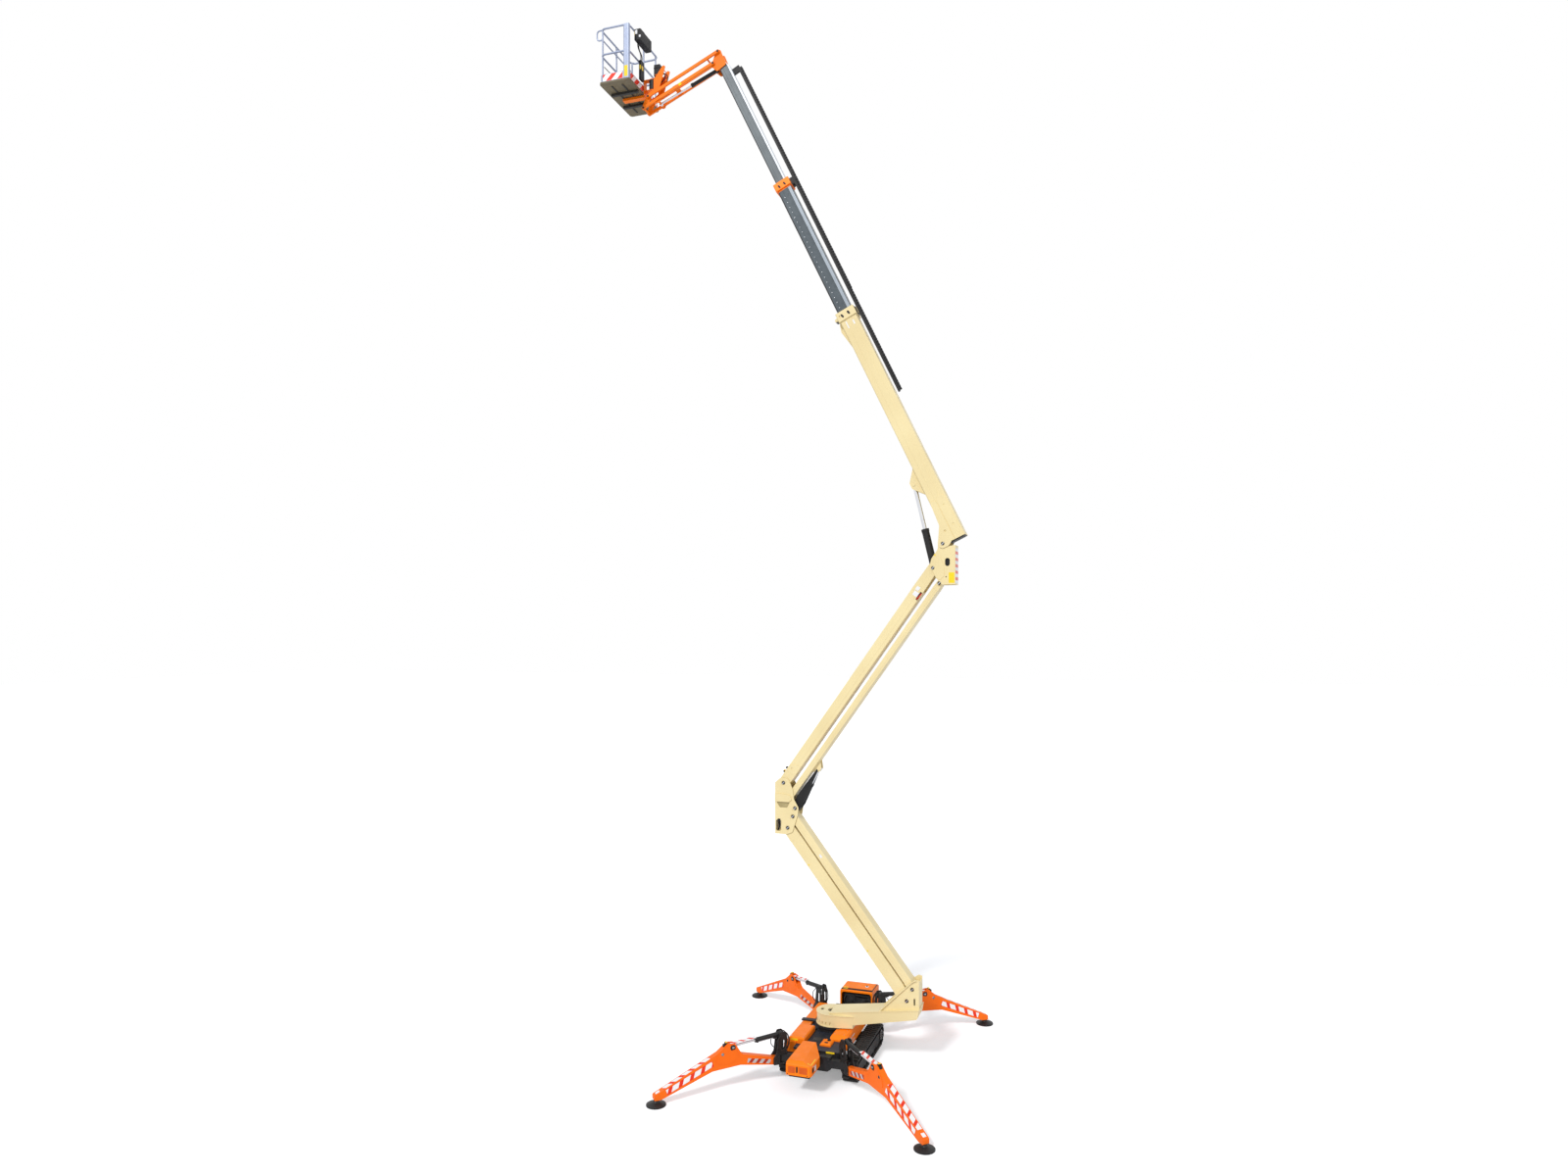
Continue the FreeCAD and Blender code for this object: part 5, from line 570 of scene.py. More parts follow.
alloy = finish("anodised_tube", (0.36, 0.405, 0.53), (0.31, 0.355, 0.48), roughness=0.34, metallic=0.35,
               patch=5.0, grain=240.0, depth=0.08)
TOE_BOARD = (Z, FLOOR_TOP + 0.010, FLOOR_TOP + 0.140)
TOE_STRIPES = ((1.0, 1.0, -1.0), 0.25 / math.sqrt(3.0), 0.5)
LONG_SIDES = (Y, basket_low.y + 0.083, basket_high.y - 0.092)
SHORT_SIDES = (X, basket_low.x + 0.085, basket_high.x - 0.15)
for side in (LONG_SIDES, SHORT_SIDES):
    warning(alloy, SIGN_WHITE, SIGN_RED, TOE_STRIPES, WORLD, TOE_BOARD, side)
coat(alloy, "basket_frame")
floor_plate = finish("floor_plate", (0.16, 0.125, 0.065), (0.11, 0.088, 0.05), roughness=0.6, patch=3.0,
                     grain=60.0, depth=0.3)
zone(floor_plate, (0.34, 0.35, 0.38), WORLD, (Z, FLOOR_TOP - 0.003, FLOOR_TOP + 0.01))
zone(floor_plate, (0.02, 0.018, 0.016), WORLD, (Z, FLOOR_TOP - 0.2, FLOOR_TOP - 0.041))
coat(floor_plate, "basket_floor")
coat(plastic, "basket_console", "basket_panel", "junction_box")


# Warning bands of the outriggers
# Reflective film on the redder welded legs and on the cylinders' cover plates has red stripes on white, with a
# thin red edge on the legs' sides; the inner half's band is grey and dull red, painted shade of that film.
LEG_ORANGE = (0.98, 0.165, 0.004)
LEG_DUSTY = (0.86, 0.135, 0.004)
FILM_WHITE = (0.84, 0.84, 0.84)
FILM_IN_SHADE = (0.5, 0.48, 0.47)
RED_IN_SHADE = (0.42, 0.03, 0.01)
ELBOW = (1.40, 0.0, 0.565)
LEG_ROOT = (0.27, 0.0, 0.425)
RAM_EYE = (0.04, 0.0, 0.885)
OUTER_ANGLE = -22.3
INNER_ANGLE = 11.5
RAM_ANGLE = -5.008
# direction, pitch and white share of the stripes, then the band's spans in its own frame
SIDE_STRIPES = ((0.80, 0.0, 0.60), 0.178, 0.62)
SIDE_EDGE = ((X, -0.008, 0.93), (Z, -0.052, 0.052))
SIDE_BAND = ((X, 0.0, 0.922), (Z, -0.045, 0.045))
TOP_STRIPES = ((0.80, 0.60, 0.0), 0.16, 0.66)
TOP_BAND = ((X, 0.0, 0.95), (Y, -0.046, 0.046), (Z, 0.06, 0.2))
TOP_PLATE = ((X, 1.02, 1.10), (Y, -0.035, 0.035), (Z, 0.03, 0.2))
INNER_STRIPES = ((0.85, 0.0, 0.53), 0.118, 0.5)
INNER_BAND = ((X, 0.0, 0.46), (Z, -0.038, 0.038))
STOP_BLOCK = ((X, 1.097, 1.143), (Y, -0.031, 0.031), (Z, 0.826, 0.9))
COVER_STRIPES = ((0.8, 0.6, 0.0), 0.13, 0.62)
COVER_BAND = ((X, 0.50, 1.0), (Z, 0.0508, 0.06))
ROD = ((X, 0.40, 0.94), (Z, -0.0202, 0.0202))
legs = {}
rams = {}
for corner, azimuth in CORNERS.items():
    leg = Matrix.Translation(pins["swivel_" + corner]) @ Matrix.Rotation(math.radians(azimuth), 4, "Z")
    outer = leg @ boom_frame(ELBOW, OUTER_ANGLE)
    inner = leg @ boom_frame(LEG_ROOT, INNER_ANGLE)
    ram = leg @ boom_frame(RAM_EYE, RAM_ANGLE)
    legs[corner] = leg
    rams[corner] = ram
    enamel = finish("leg_enamel_" + corner, LEG_ORANGE, LEG_DUSTY, **WORN_ENAMEL)
    zone(enamel, SIGN_RED, outer, *SIDE_EDGE)
    warning(enamel, FILM_WHITE, SIGN_RED, SIDE_STRIPES, outer, *SIDE_BAND)
    warning(enamel, FILM_WHITE, SIGN_RED, TOP_STRIPES, outer, *TOP_BAND)
    # The inner half's band: its white and red film in painted shade, as grey and dull red.
    warning(enamel, FILM_IN_SHADE, RED_IN_SHADE, INNER_STRIPES, inner, *INNER_BAND)
    zone(enamel, FILM_WHITE, outer, *TOP_PLATE)
    zone(enamel, BLACK, leg, *STOP_BLOCK)
    coat(enamel, "outrigger_leg_" + corner)
    cover = finish("cover_plate_" + corner, (0.03, 0.03, 0.032), (0.05, 0.05, 0.05), roughness=0.3, patch=5.0)
    warning(cover, FILM_WHITE, SIGN_RED, COVER_STRIPES, ram, *COVER_BAND)
    zone(cover, (0.62, 0.63, 0.65), ram, *ROD)
    coat(cover, "outrigger_rod_" + corner)


# Elbows of the outriggers
# Black steel plates hold the cylinder's eye at the elbow, with a bright pin locked by a keeper, and an amber
# lamp stands on the black stop block. The tie-down hole has a bright sleeve.
PLATE_OUTLINE = [(0.965, 0.765), (1.045, 0.755), (1.062, 0.80), (1.04, 0.846), (0.985, 0.846), (0.962, 0.815)]
PLATE_INNER = 0.066
PLATE_OUTER = 0.0735
KEEPER_THICKNESS = 0.005
EYE_PIN = (1.01, PLATE_OUTER, 0.80)
SLEEVE_PLACE = (1.205, 0.0, 0.705)
SLEEVE_RADIUS = 0.0266
SLEEVE_LENGTH = 0.134
amber = finish("amber_lens", (0.95, 0.60, 0.02), (0.9, 0.52, 0.02), roughness=0.2, patch=9.0, depth=0.03)
for corner, leg in legs.items():
    body = "leg_" + corner
    plates = bmesh.new()
    twin_prisms(plates, PLATE_OUTLINE, PLATE_INNER, PLATE_OUTER)
    piece("elbow_plates_" + corner, plates, leg, black_paint, body, bevel=0.002)
    shiny = bmesh.new()
    twin_drums(shiny, EYE_PIN, 0.0185, 0.0085, 20, 0.0165)
    twin_blocks(shiny, (0.975, PLATE_OUTER, 0.794), (0.995, PLATE_OUTER + KEEPER_THICKNESS, 0.806))
    sleeve_place = Matrix.Translation(SLEEVE_PLACE) @ Matrix.Rotation(math.pi / 2, 4, "X")
    bmesh.ops.create_cone(shiny, cap_ends=False, segments=28, radius1=SLEEVE_RADIUS, radius2=SLEEVE_RADIUS,
                          depth=SLEEVE_LENGTH, matrix=sleeve_place)
    piece("elbow_pins_" + corner, shiny, leg, bright, body, bevel=0.001)
    lamp_base = bmesh.new()
    block(lamp_base, (1.098, -0.036, 0.852), (1.142, 0.036, 0.889))
    block(lamp_base, (1.142, -0.028, 0.800), (1.178, 0.028, 0.862))
    piece("elbow_lamp_base_" + corner, lamp_base, leg, black_paint, body, bevel=0.004)
    lens = bmesh.new()
    block(lens, (1.104, -0.030, 0.885), (1.136, 0.030, 0.902))
    piece("elbow_lamp_" + corner, lens, leg, amber, body, bevel=0.006, bevel_steps=3)


# Cylinders of the outriggers
# Valve block on each black barrel with its bright fittings and bent steel pipes to the gland, and pairs of
# thin hoses that loop out from the bracket to the barrel's foot.
PIPE_RADIUS = 0.006
LOOP_RADIUS = 0.008
PIPE_HEIGHT = -0.034


def hoses(name, routes, radius, place, material, body):
    """Hoses or pipes through the points of their routes, with round section and closed ends."""
    curve = bpy.data.curves.new(name, "CURVE")
    curve.dimensions = "3D"
    curve.bevel_depth = radius
    curve.bevel_resolution = 2
    curve.use_fill_caps = True
    curve.resolution_u = 8
    for route in routes:
        line = curve.splines.new("BEZIER")
        line.bezier_points.add(len(route) - 1)
        for knot, point in zip(line.bezier_points, route):
            knot.co = place @ Vector(point)
            knot.handle_left_type = "AUTO"
            knot.handle_right_type = "AUTO"
    data = plain_mesh(placed(name + "_line", curve), name)
    data.materials.clear()
    data.materials.append(material)
    data.shade_smooth()
    thing = placed(name, data)
    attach(thing, body)


hose_rubber = finish("hose_rubber", (0.010, 0.010, 0.011), (0.025, 0.024, 0.023), roughness=0.5, patch=12.0,
                     grain=300.0, depth=0.2, shine=0.25)
pipes = [[(0.17, y * 0.9, -0.036), (0.24, y, PIPE_HEIGHT), (0.40, y, PIPE_HEIGHT),
          (0.47, y * 0.95, PIPE_HEIGHT)] for y in (-0.034, 0.034)]
loops = [[(-0.02, y, 0.56), (-0.085, y * 1.1, 0.64), (-0.10, y * 1.15, 0.79), (-0.045, y, 0.90),
          (-0.01, y, 0.91)] for y in (-0.052, -0.028, 0.03, 0.055)]
loops += [[(0.05, y, 0.57), (0.15, y * 1.25, 0.62), (0.19, y * 1.3, 0.73), (0.12, y * 1.2, 0.84),
           (0.085, y, 0.875)] for y in (-0.09, 0.09)]
for corner, ram in rams.items():
    body = "leg_barrel_" + corner
    valve = bmesh.new()
    block(valve, (0.085, -0.036, -0.054), (0.175, 0.036, -0.024))
    block(valve, (0.462, -0.042, -0.044), (0.50, 0.042, -0.022))
    piece("valve_block_" + corner, valve, ram, black_paint, body, bevel=0.003)
    fittings = bmesh.new()
    for y in (0.020, -0.020):
        for x in (0.105, 0.145):
            drum(fittings, (x, y, -0.053), (0.0, 0.0, -1.0), 0.009, 0.012, 6)
    piece("ram_fittings_" + corner, fittings, ram, bright, body)
    hoses("ram_pipe_" + corner, pipes, PIPE_RADIUS, ram, bright, body)
    hoses("bracket_hoses_" + corner, loops, LOOP_RADIUS, legs[corner], hose_rubber, "bracket_" + corner)


# Screws of the track hubs and covers
# Hexagon heads: a ring of ten on each drive hub, a ring of six on each idler, and four on each deck cover.
# count, side face, place of the wheel and radius of the ring
HUB_BOLTS = ((10, 0.737, 0.94, 0.08), (6, 0.730, -0.84, 0.045))
WHEEL_HEIGHT = 0.21
SCREW_RADIUS = 0.010
BOLTS, given, repeat, BOLT_INPUTS = repeating_tree("bolts", (("Places", "Geometry"), ("Sides", "Int"),
                                                             ("Radius", "Float"), ("Height", "Float")))
bolt_head = BOLTS.nodes.new("GeometryNodeMeshCylinder")
facing = BOLTS.nodes.new("GeometryNodeInputNamedAttribute")
facing.data_type = "FLOAT_VECTOR"
facing.inputs["Name"].default_value = "facing"
turn = BOLTS.nodes.new("FunctionNodeAlignRotationToVector")
turn.axis = "Z"
wired(BOLTS, (given, "Sides", bolt_head, "Vertices"), (given, "Radius", bolt_head, "Radius"),
      (given, "Height", bolt_head, "Depth"), (facing, "Attribute", turn, "Vector"),
      (given, "Places", repeat, "Points"), (bolt_head, "Mesh", repeat, "Instance"),
      (turn, "Rotation", repeat, "Rotation"))


def bolts(name, places, radius, height, place, material, body):
    """Hexagon heads at (point, facing) places of a frame, standing out by half their height."""
    seed = bpy.data.meshes.new(name + "_places")
    seed.from_pydata([place @ Vector(point) for point, facing in places], [], [])
    marks = seed.attributes.new("facing", "FLOAT_VECTOR", "POINT")
    turned = [place.to_3x3() @ Vector(facing) for point, facing in places]
    marks.data.foreach_set("vector", [value for vector in turned for value in vector])
    values = {BOLT_INPUTS["Sides"]: 6, BOLT_INPUTS["Radius"]: radius, BOLT_INPUTS["Height"]: height,
              BOLT_INPUTS["Material"]: material}
    grown(name, seed, BOLTS, values, WORLD, body)


hub_bolts = []
for side in SIDES:
    for count, face, middle, ring in HUB_BOLTS:
        for i in range(count):
            around = math.tau * i / count
            spot = (side * face, middle + ring * math.cos(around), WHEEL_HEIGHT + ring * math.sin(around))
            hub_bolts.append((spot, (side, 0.0, 0.0)))
bolts("hub_bolts", hub_bolts, SCREW_RADIUS, 0.016, deck, bright, "chassis")
cover_screws = [((x, y, 0.7005), RISE) for x in (0.19, 0.38) for y in (-0.53, -0.30)]
cover_screws += [((x, y, 0.7155), RISE) for x in (-0.54, -0.31) for y in (-0.91, -0.31)]
bolts("cover_screws", cover_screws, SCREW_RADIUS, 0.008, deck, bright, "chassis")


# Front hood
# Moulded cover of the tank and pumps: two slatted vents, a black pull latch between them, a vent in its right
# side and blank plates of film where a machine of this kind carries its signs.
FILM_UNDER = 0.0004     # how far a film's plate sinks into its face, and how thick it stands
FILM_THICKNESS = 0.0012
VENT_SLATS = 7
SLAT_PITCH = 0.0168
SLAT_HEIGHT = 0.009
SLAT_START = 0.4845
RUBBER_STOP = 0.009
FILM = {"roughness": 0.3, "patch": 20.0, "depth": 0.02}
film_white = finish("blank_white_film", (0.82, 0.82, 0.82), (0.75, 0.75, 0.76), **FILM)
film_yellow = finish("blank_yellow_film", (0.92, 0.66, 0.01), (0.88, 0.6, 0.01), **FILM)
film_red = finish("red_film", SIGN_RED, (0.7, 0.03, 0.012), **FILM)
vent_orange = finish("vent_moulding", (0.72, 0.12, 0.006), (0.6, 0.1, 0.006), roughness=0.45, patch=6.0)
for name, x0, x1 in (("left_vent", -0.258, -0.132), ("right_vent", -0.058, 0.096)):
    slat = bmesh.new()
    prism(slat, [(x0, 0.0), (x1, 0.0), (x1, SLAT_HEIGHT), (x0, SLAT_HEIGHT)], -1.9478, -1.9385)
    row(name + "_slats", slat, VENT_SLATS, (0.0, 0.0, SLAT_PITCH),
        deck @ Matrix.Translation((0.0, 0.0, SLAT_START)), vent_orange, "chassis")
latch = bmesh.new()
block(latch, (-0.109, -1.9535, 0.497), (-0.081, -1.9475, 0.600))
block(latch, (-0.103, -1.9560, 0.515), (-0.087, -1.9530, 0.585))
for x in (-0.27, 0.10):
    drum(latch, (x, -1.9495, 0.462), FORE, RUBBER_STOP, 0.005, 16)
piece("hood_latch", latch, deck, black_paint, "chassis", bevel=0.002)
side_vent = bmesh.new()
block(side_vent, (0.1585, -1.873, 0.486), (0.1655, -1.767, 0.564))
piece("hood_side_vent", side_vent, deck, plastic, "chassis", bevel=0.003)


def film(name, patches, material, body):
    """Blank plates of film, each a frame and the low and high corner of its rectangle in the frame's XY."""
    mesh = bmesh.new()
    for place, low, high in patches:
        before = set(mesh.verts)
        block(mesh, (*low, -FILM_UNDER), (*high, FILM_THICKNESS))
        bmesh.ops.transform(mesh, matrix=place, verts=[v for v in mesh.verts if v not in before])
    piece(name, mesh, WORLD, material, body)


def lying(place, point, across=RIGHT, upward=RISE):
    """Frame on a face at a point: X across the face, Y up it, Z out of it."""
    x = (place.to_3x3() @ Vector(across)).normalized()
    y = (place.to_3x3() @ Vector(upward)).normalized()
    turn = Matrix((x, y, x.cross(y))).transposed().to_4x4()
    return Matrix.Translation(place @ Vector(point)) @ turn


right_face = lying(deck, (0.168, -1.80, 0.44), AFT)
bevel_face = lying(deck, (0.168, -1.86, 0.60), AFT, (-0.198, 0.0, 0.10))
film("hood_white_film", [(right_face, (0.06, 0.03), (0.155, 0.125)),
                         (right_face, (-0.03, 0.135), (0.02, 0.152))], film_white, "chassis")
film("hood_yellow_film", [(bevel_face, (0.0, 0.03), (0.30, 0.045)), (bevel_face, (0.0, 0.03), (0.016, 0.11))],
     film_yellow, "chassis")


# Covers beside the turret
# Blank yellow plates on the left box and on the deck beside the front bracket, a black turn knob on the cover
# of the deck controls, and the ribs and black edges of the non-slip plate.
DECK_TOP = 0.5998
CONTROL_TOP = 0.6545
TREAD_WIDTH = 0.006
TREAD_HEIGHT = 0.0022
DECK_RIBS = 34
DECK_RIB_PITCH = 0.018
left_near = lying(deck, (-0.575, -0.9502, 0.64))
deck_near = lying(deck, (0.18, -1.1302, 0.562))
rear_top = lying(deck, (-0.07, 1.455, 0.871), RIGHT, (0.0, 1.0, 0.24))
film("deck_yellow_film", [(left_near, (0.03, 0.006), (0.17, 0.046)),
                          (deck_near, (0.02, 0.003), (0.18, 0.036)),
                          (rear_top, (-0.13, 0.0), (-0.03, 0.065))], film_yellow, "chassis")
cover_side = lying(deck, (0.474, -0.40, 0.48), AFT, (-0.012, 0.0, 1.0))
film("cover_white_film", [(cover_side, (0.0, 0.02), (0.02, 0.13)), (cover_side, (0.045, 0.02), (0.065, 0.13)),
                          (cover_side, (0.09, 0.02), (0.27, 0.04)), (cover_side, (0.09, 0.11), (0.27, 0.13))],
     film_white, "chassis")
knob = bmesh.new()
drum(knob, (0.15, -0.76, CONTROL_TOP), RISE, 0.034, 0.022, 28, 0.030)
drum(knob, (0.15, -0.76, 0.676), RISE, 0.015, 0.014, 20, 0.012)
block(knob, (0.10, -0.9, CONTROL_TOP), (0.16, -0.86, 0.666))
drum(knob, (0.06, -0.71, CONTROL_TOP), RISE, 0.012, 0.014, 18)
piece("deck_knob", knob, deck, plastic, "chassis", bevel=0.003)
edge = bmesh.new()
block(edge, (-0.27, -0.26, DECK_TOP), (0.12, -0.245, 0.608))
block(edge, (-0.27, -0.94, DECK_TOP), (-0.258, -0.26, 0.608))
block(edge, (-0.425, -0.265, DECK_TOP), (-0.275, -0.15, 0.622))
block(edge, (-0.20, -0.70, DECK_TOP), (-0.04, -0.56, 0.604))
piece("deck_edges", edge, deck, black_paint, "chassis", bevel=0.002)
tread = bmesh.new()
block(tread, (0.0, 0.0, 0.0), (0.35, TREAD_WIDTH, TREAD_HEIGHT))
row("deck_tread", tread, DECK_RIBS, (0.0, DECK_RIB_PITCH, 0.0),
    deck @ Matrix.Translation((-0.24, -0.93, 0.5999)), frame_black, "chassis")


# Engine bay
# The engine's block dressed with its rocker cover, air pipe, filter and pulleys, hoses to the tank, and the
# black hydraulic motor and tray in front of the opening.
BLOCK_FACE = 1.475
MOTOR_HEIGHT = 0.585
TRAY_TOP = 0.53
VALVES = (0.32, 0.36, 0.40)
dressing = bmesh.new()
block(dressing, (-0.12, 1.455, 0.60), (0.06, BLOCK_FACE, 0.75))
block(dressing, (0.09, 1.45, 0.56), (0.30, BLOCK_FACE, 0.70))
drum(dressing, (-0.03, BLOCK_FACE, 0.66), FORE, 0.055, 0.045, 32)
drum(dressing, (-0.03, 1.43, 0.66), FORE, 0.020, 0.02, 24)
drum(dressing, (0.20, BLOCK_FACE, 0.62), FORE, 0.07, 0.035, 32)
drum(dressing, (-0.12, 1.56, 0.815), RIGHT, 0.034, 0.38, 28)
drum(dressing, (0.29, 1.50, 0.79), RISE, 0.03, 0.02, 24)
piece("engine_dressing", dressing, deck, engine_grey, "chassis", bevel=0.004)
hoses("engine_hoses", [[(-0.12, 1.47, 0.74), (-0.16, 1.43, 0.70), (-0.15, 1.42, 0.60), (-0.10, 1.44, 0.54)],
                       [(0.06, 1.47, 0.74), (0.10, 1.425, 0.76), (0.22, 1.425, 0.75), (0.30, 1.46, 0.72)],
                       [(-0.05, 1.47, 0.60), (0.02, 1.415, 0.58), (0.12, 1.415, 0.55), (0.22, 1.45, 0.54)],
                       [(0.30, 1.47, 0.66), (0.36, 1.43, 0.70), (0.38, 1.425, 0.62), (0.36, 1.43, 0.53)]],
      0.012, deck, hose_rubber, "chassis")
tray = bmesh.new()
block(tray, (-0.17, 1.19, 0.508), (0.44, 1.36, TRAY_TOP))
block(tray, (-0.17, 1.19, TRAY_TOP), (0.44, 1.20, 0.60))
block(tray, (0.30, 1.21, TRAY_TOP), (0.42, 1.33, 0.655))
drum(tray, (0.06, 1.28, MOTOR_HEIGHT), RIGHT, 0.05, 0.22, 28)
drum(tray, (0.0, 1.28, MOTOR_HEIGHT), RIGHT, 0.036, 0.06, 28)
piece("hydraulic_tray", tray, deck, black_paint, "chassis", bevel=0.004)
bright_parts = bmesh.new()
for x in VALVES:
    drum(bright_parts, (x, 1.27, 0.655), RISE, 0.012, 0.018, 6)
drum(bright_parts, (0.28, 1.28, MOTOR_HEIGHT), RIGHT, 0.03, 0.02, 24)
piece("valve_caps", bright_parts, deck, bright, "chassis")
hoses("tray_hoses", [[(VALVES[0], 1.27, 0.67), (0.32, 1.24, 0.74), (0.24, 1.22, 0.70), (0.20, 1.24, 0.62)],
                     [(VALVES[1], 1.27, 0.67), (0.37, 1.24, 0.76), (0.42, 1.25, 0.74), (0.43, 1.30, 0.60)],
                     [(VALVES[2], 1.27, 0.67), (0.42, 1.22, 0.72), (0.43, 1.215, 0.62), (0.43, 1.23, 0.54)]],
      0.011, deck, hose_rubber, "chassis")
cap = bmesh.new()
drum(cap, (0.27, 1.62, 0.893), RISE, 0.038, 0.012, 32, 0.034)
piece("filler_cap_ring", cap, deck, film_white, "chassis", bevel=0.002)
cap = bmesh.new()
drum(cap, (0.27, 1.62, 0.904), RISE, 0.022, 0.010, 28, 0.018)
block(cap, (0.25, 1.616, 0.912), (0.29, 1.624, 0.918))
piece("filler_cap", cap, deck, black_paint, "chassis", bevel=0.001)


# Pins of the booms
# Ground steel pins, blacked, each locked by a bright keeper bolted across its end in the teardrop recess.
PLATE_FACE = 0.162
PIN_FACE = 0.158        # the pin ends start a little under the plates' faces
KEEPER_OUTLINE = [(-0.030, -0.020), (-0.014, -0.030), (0.030, 0.016), (0.014, 0.028)]
knuckle = Matrix.Translation(pins["knuckle_hinge"])
arm = Matrix.Translation(pins["lower_boom_luff"])
head = Matrix.Translation(pins["head_hinge"])
boom_foot = Matrix.Translation(pins["main_boom_luff"])
pin_sets = [("turret", arm, [(0.0, 0.0), (0.105, 0.228)]),
            ("knuckle", knuckle, [(0.0, 0.0), (0.105, 0.228), (0.15, 0.391), (-0.088, 0.878), (0.03, 0.59)]),
            ("head", head, [(0.0, 0.0), (0.118, -0.288)])]
for body, place, spots in pin_sets:
    ends = bmesh.new()
    keepers = bmesh.new()
    for x, z in spots:
        twin_drums(ends, (x, PIN_FACE, z), 0.034, 0.015, 28, 0.031)
        outline = [(x + dx, z + dz) for dx, dz in KEEPER_OUTLINE]
        twin_prisms(keepers, outline, PLATE_FACE + 0.0105, PLATE_FACE + 0.0145)
        twin_drums(keepers, (x - 0.017, PLATE_FACE + 0.0140, z - 0.016), 0.008, 0.005, 6)
    piece(body + "_pin_ends", ends, place, black_paint, body, bevel=0.0015)
    piece(body + "_pin_keepers", keepers, place, bright, body)
ends = bmesh.new()
twin_drums(ends, (0.0, 0.186, 0.0), 0.033, 0.009, 28, 0.031)
piece("boom_pin_ends", ends, boom_foot, black_paint, "head", bevel=0.0015)
keeper = bmesh.new()
twin_prisms(keeper, KEEPER_OUTLINE, 0.1945, 0.198)
piece("boom_pin_keeper", keeper, boom_foot, bright, "head")


# Turret's openings and hoses
# Dark plates inside the lifting slot and manhole of the drum's top plate, painted shade of their insides, a
# bright casting in the left pocket, and the bundle of hoses that runs up inside the gusset plates.
BUNDLE_RADIUS = 0.012
POCKET_ANGLE = 195.0
# Dark plates in the manhole and lifting slot: painted shade.
shade_plate = bmesh.new()
drum(shade_plate, (0.0, 0.0, 0.9085), RISE, 0.0945, 0.004, 40)
block(shade_plate, (-0.2345, -0.0595, 0.9195), (-0.1755, 0.0695, 0.9235))
piece("turret_hole_shade", shade_plate, deck, plastic, "turret")
hoses("turret_hoses", [[(0.05, y, 0.915), (0.02, y, 0.935), (-0.04, y, 0.935), (-0.07, y, 0.915)]
                       for y in (-0.03, 0.0, 0.03)], 0.011, deck, hose_rubber, "turret")
swivel = bmesh.new()
block(swivel, (0.254, -0.045, 0.79), (0.272, 0.045, 0.90))
drum(swivel, (0.27, 0.0, 0.845), RIGHT, 0.028, 0.022, 24)
pocket = deck @ Matrix.Rotation(math.radians(POCKET_ANGLE), 4, "Z")
piece("turret_pocket_casting", swivel, pocket, bright, "turret", bevel=0.003)
bundle = [[(1.643, y, 1.20), (1.654, y, 1.28), (1.649, y, 1.40), (1.629, y, 1.50)]
          for y in (-0.12, -0.09, -0.06, 0.06, 0.09, 0.12)]
hoses("gusset_hoses", bundle, BUNDLE_RADIUS, deck, hose_rubber, "turret")


# Knuckle's hoses, lamp and clips
# Hoses pass through the window at the knuckle's lower corner, and an amber lamp stands on a black clip where
# the upper beam begins.
bundle = [[(-0.225, y, 0.24), (-0.20, y, 0.16), (-0.19, y, 0.05), (-0.21, y, -0.06)]
          for y in (-0.13, -0.105, -0.08, 0.08, 0.105, 0.13)]
hoses("knuckle_hoses", bundle, BUNDLE_RADIUS, knuckle, hose_rubber, "knuckle")
clamp = bmesh.new()
twin_blocks(clamp, (-0.205, 0.155, 0.12), (-0.15, 0.165, 0.17))
piece("knuckle_hose_clamp", clamp, knuckle, black_paint, "knuckle", bevel=0.002)
clips = bmesh.new()
for x in (0.17, 0.26):
    block(clips, (x, -0.12, 0.1095), (x + 0.025, -0.085, 0.145))
    drum(clips, (x - 0.01, -0.10, 0.130), RIGHT, 0.013, 0.045, 20)
piece("upper_beam_clips", clips, upper, black_paint, "upper_beam", bevel=0.002)
beam_lamp = bmesh.new()
drum(beam_lamp, (0.215, -0.128, 0.128), FORE, 0.016, 0.014, 24, 0.012)
piece("upper_beam_lamp", beam_lamp, upper, amber, "upper_beam", bevel=0.002)
# Olive plates in the trapezoid window of the knuckle's side plates: painted shade standing for the inner faces
# seen through it.
recess_plate = bmesh.new()
twin_prisms(recess_plate, [(-0.229, 0.494), (0.040, 0.494), (-0.012, 0.399), (-0.158, 0.399)], 0.1475, 0.1505)
recess_shade = finish("shaded_cream", (0.42, 0.34, 0.16), (0.34, 0.27, 0.12), roughness=0.5, patch=3.0)
piece("knuckle_recess_plates", recess_plate, knuckle, recess_shade, "knuckle")


# Plugs and plates of the beams
# Grease caps and blank film plates on the parallelograms' beams and on the main boom, red and white stripes
# on the end of the head bracket, and dark plates in its hole and in the upper beam's cable window as painted
# shade.
BEAM_FACE = -0.1402
STRIPE_HALF = 0.15
STRIPE_PITCH = 0.12
upper_side = lying(upper, (0.0, BEAM_FACE, 0.0))
tie_side = lying(boom_frame(pins["lower_tie_hinge"], LOWER_ANGLE), (0.0, BEAM_FACE, 0.0))
main_side = lying(main, (0.0, -0.1652, 0.0))
head_side = lying(boom_foot, (0.0, -0.1622, 0.0))
head_end = lying(boom_foot, (0.2322, 0.0, 0.0), AFT)
film("lower_tie_film", [(tie_side, (2.95, -0.02), (3.02, 0.02))], film_white, "lower_tie")
film("upper_beam_film", [(upper_side, (4.47, -0.06), (4.56, 0.04)),
                         (upper_side, (4.58, -0.02), (4.66, 0.05))], film_white, "upper_beam")
film("head_yellow_film", [(head_side, (0.11, -0.735), (0.215, -0.54))], film_yellow, "head")
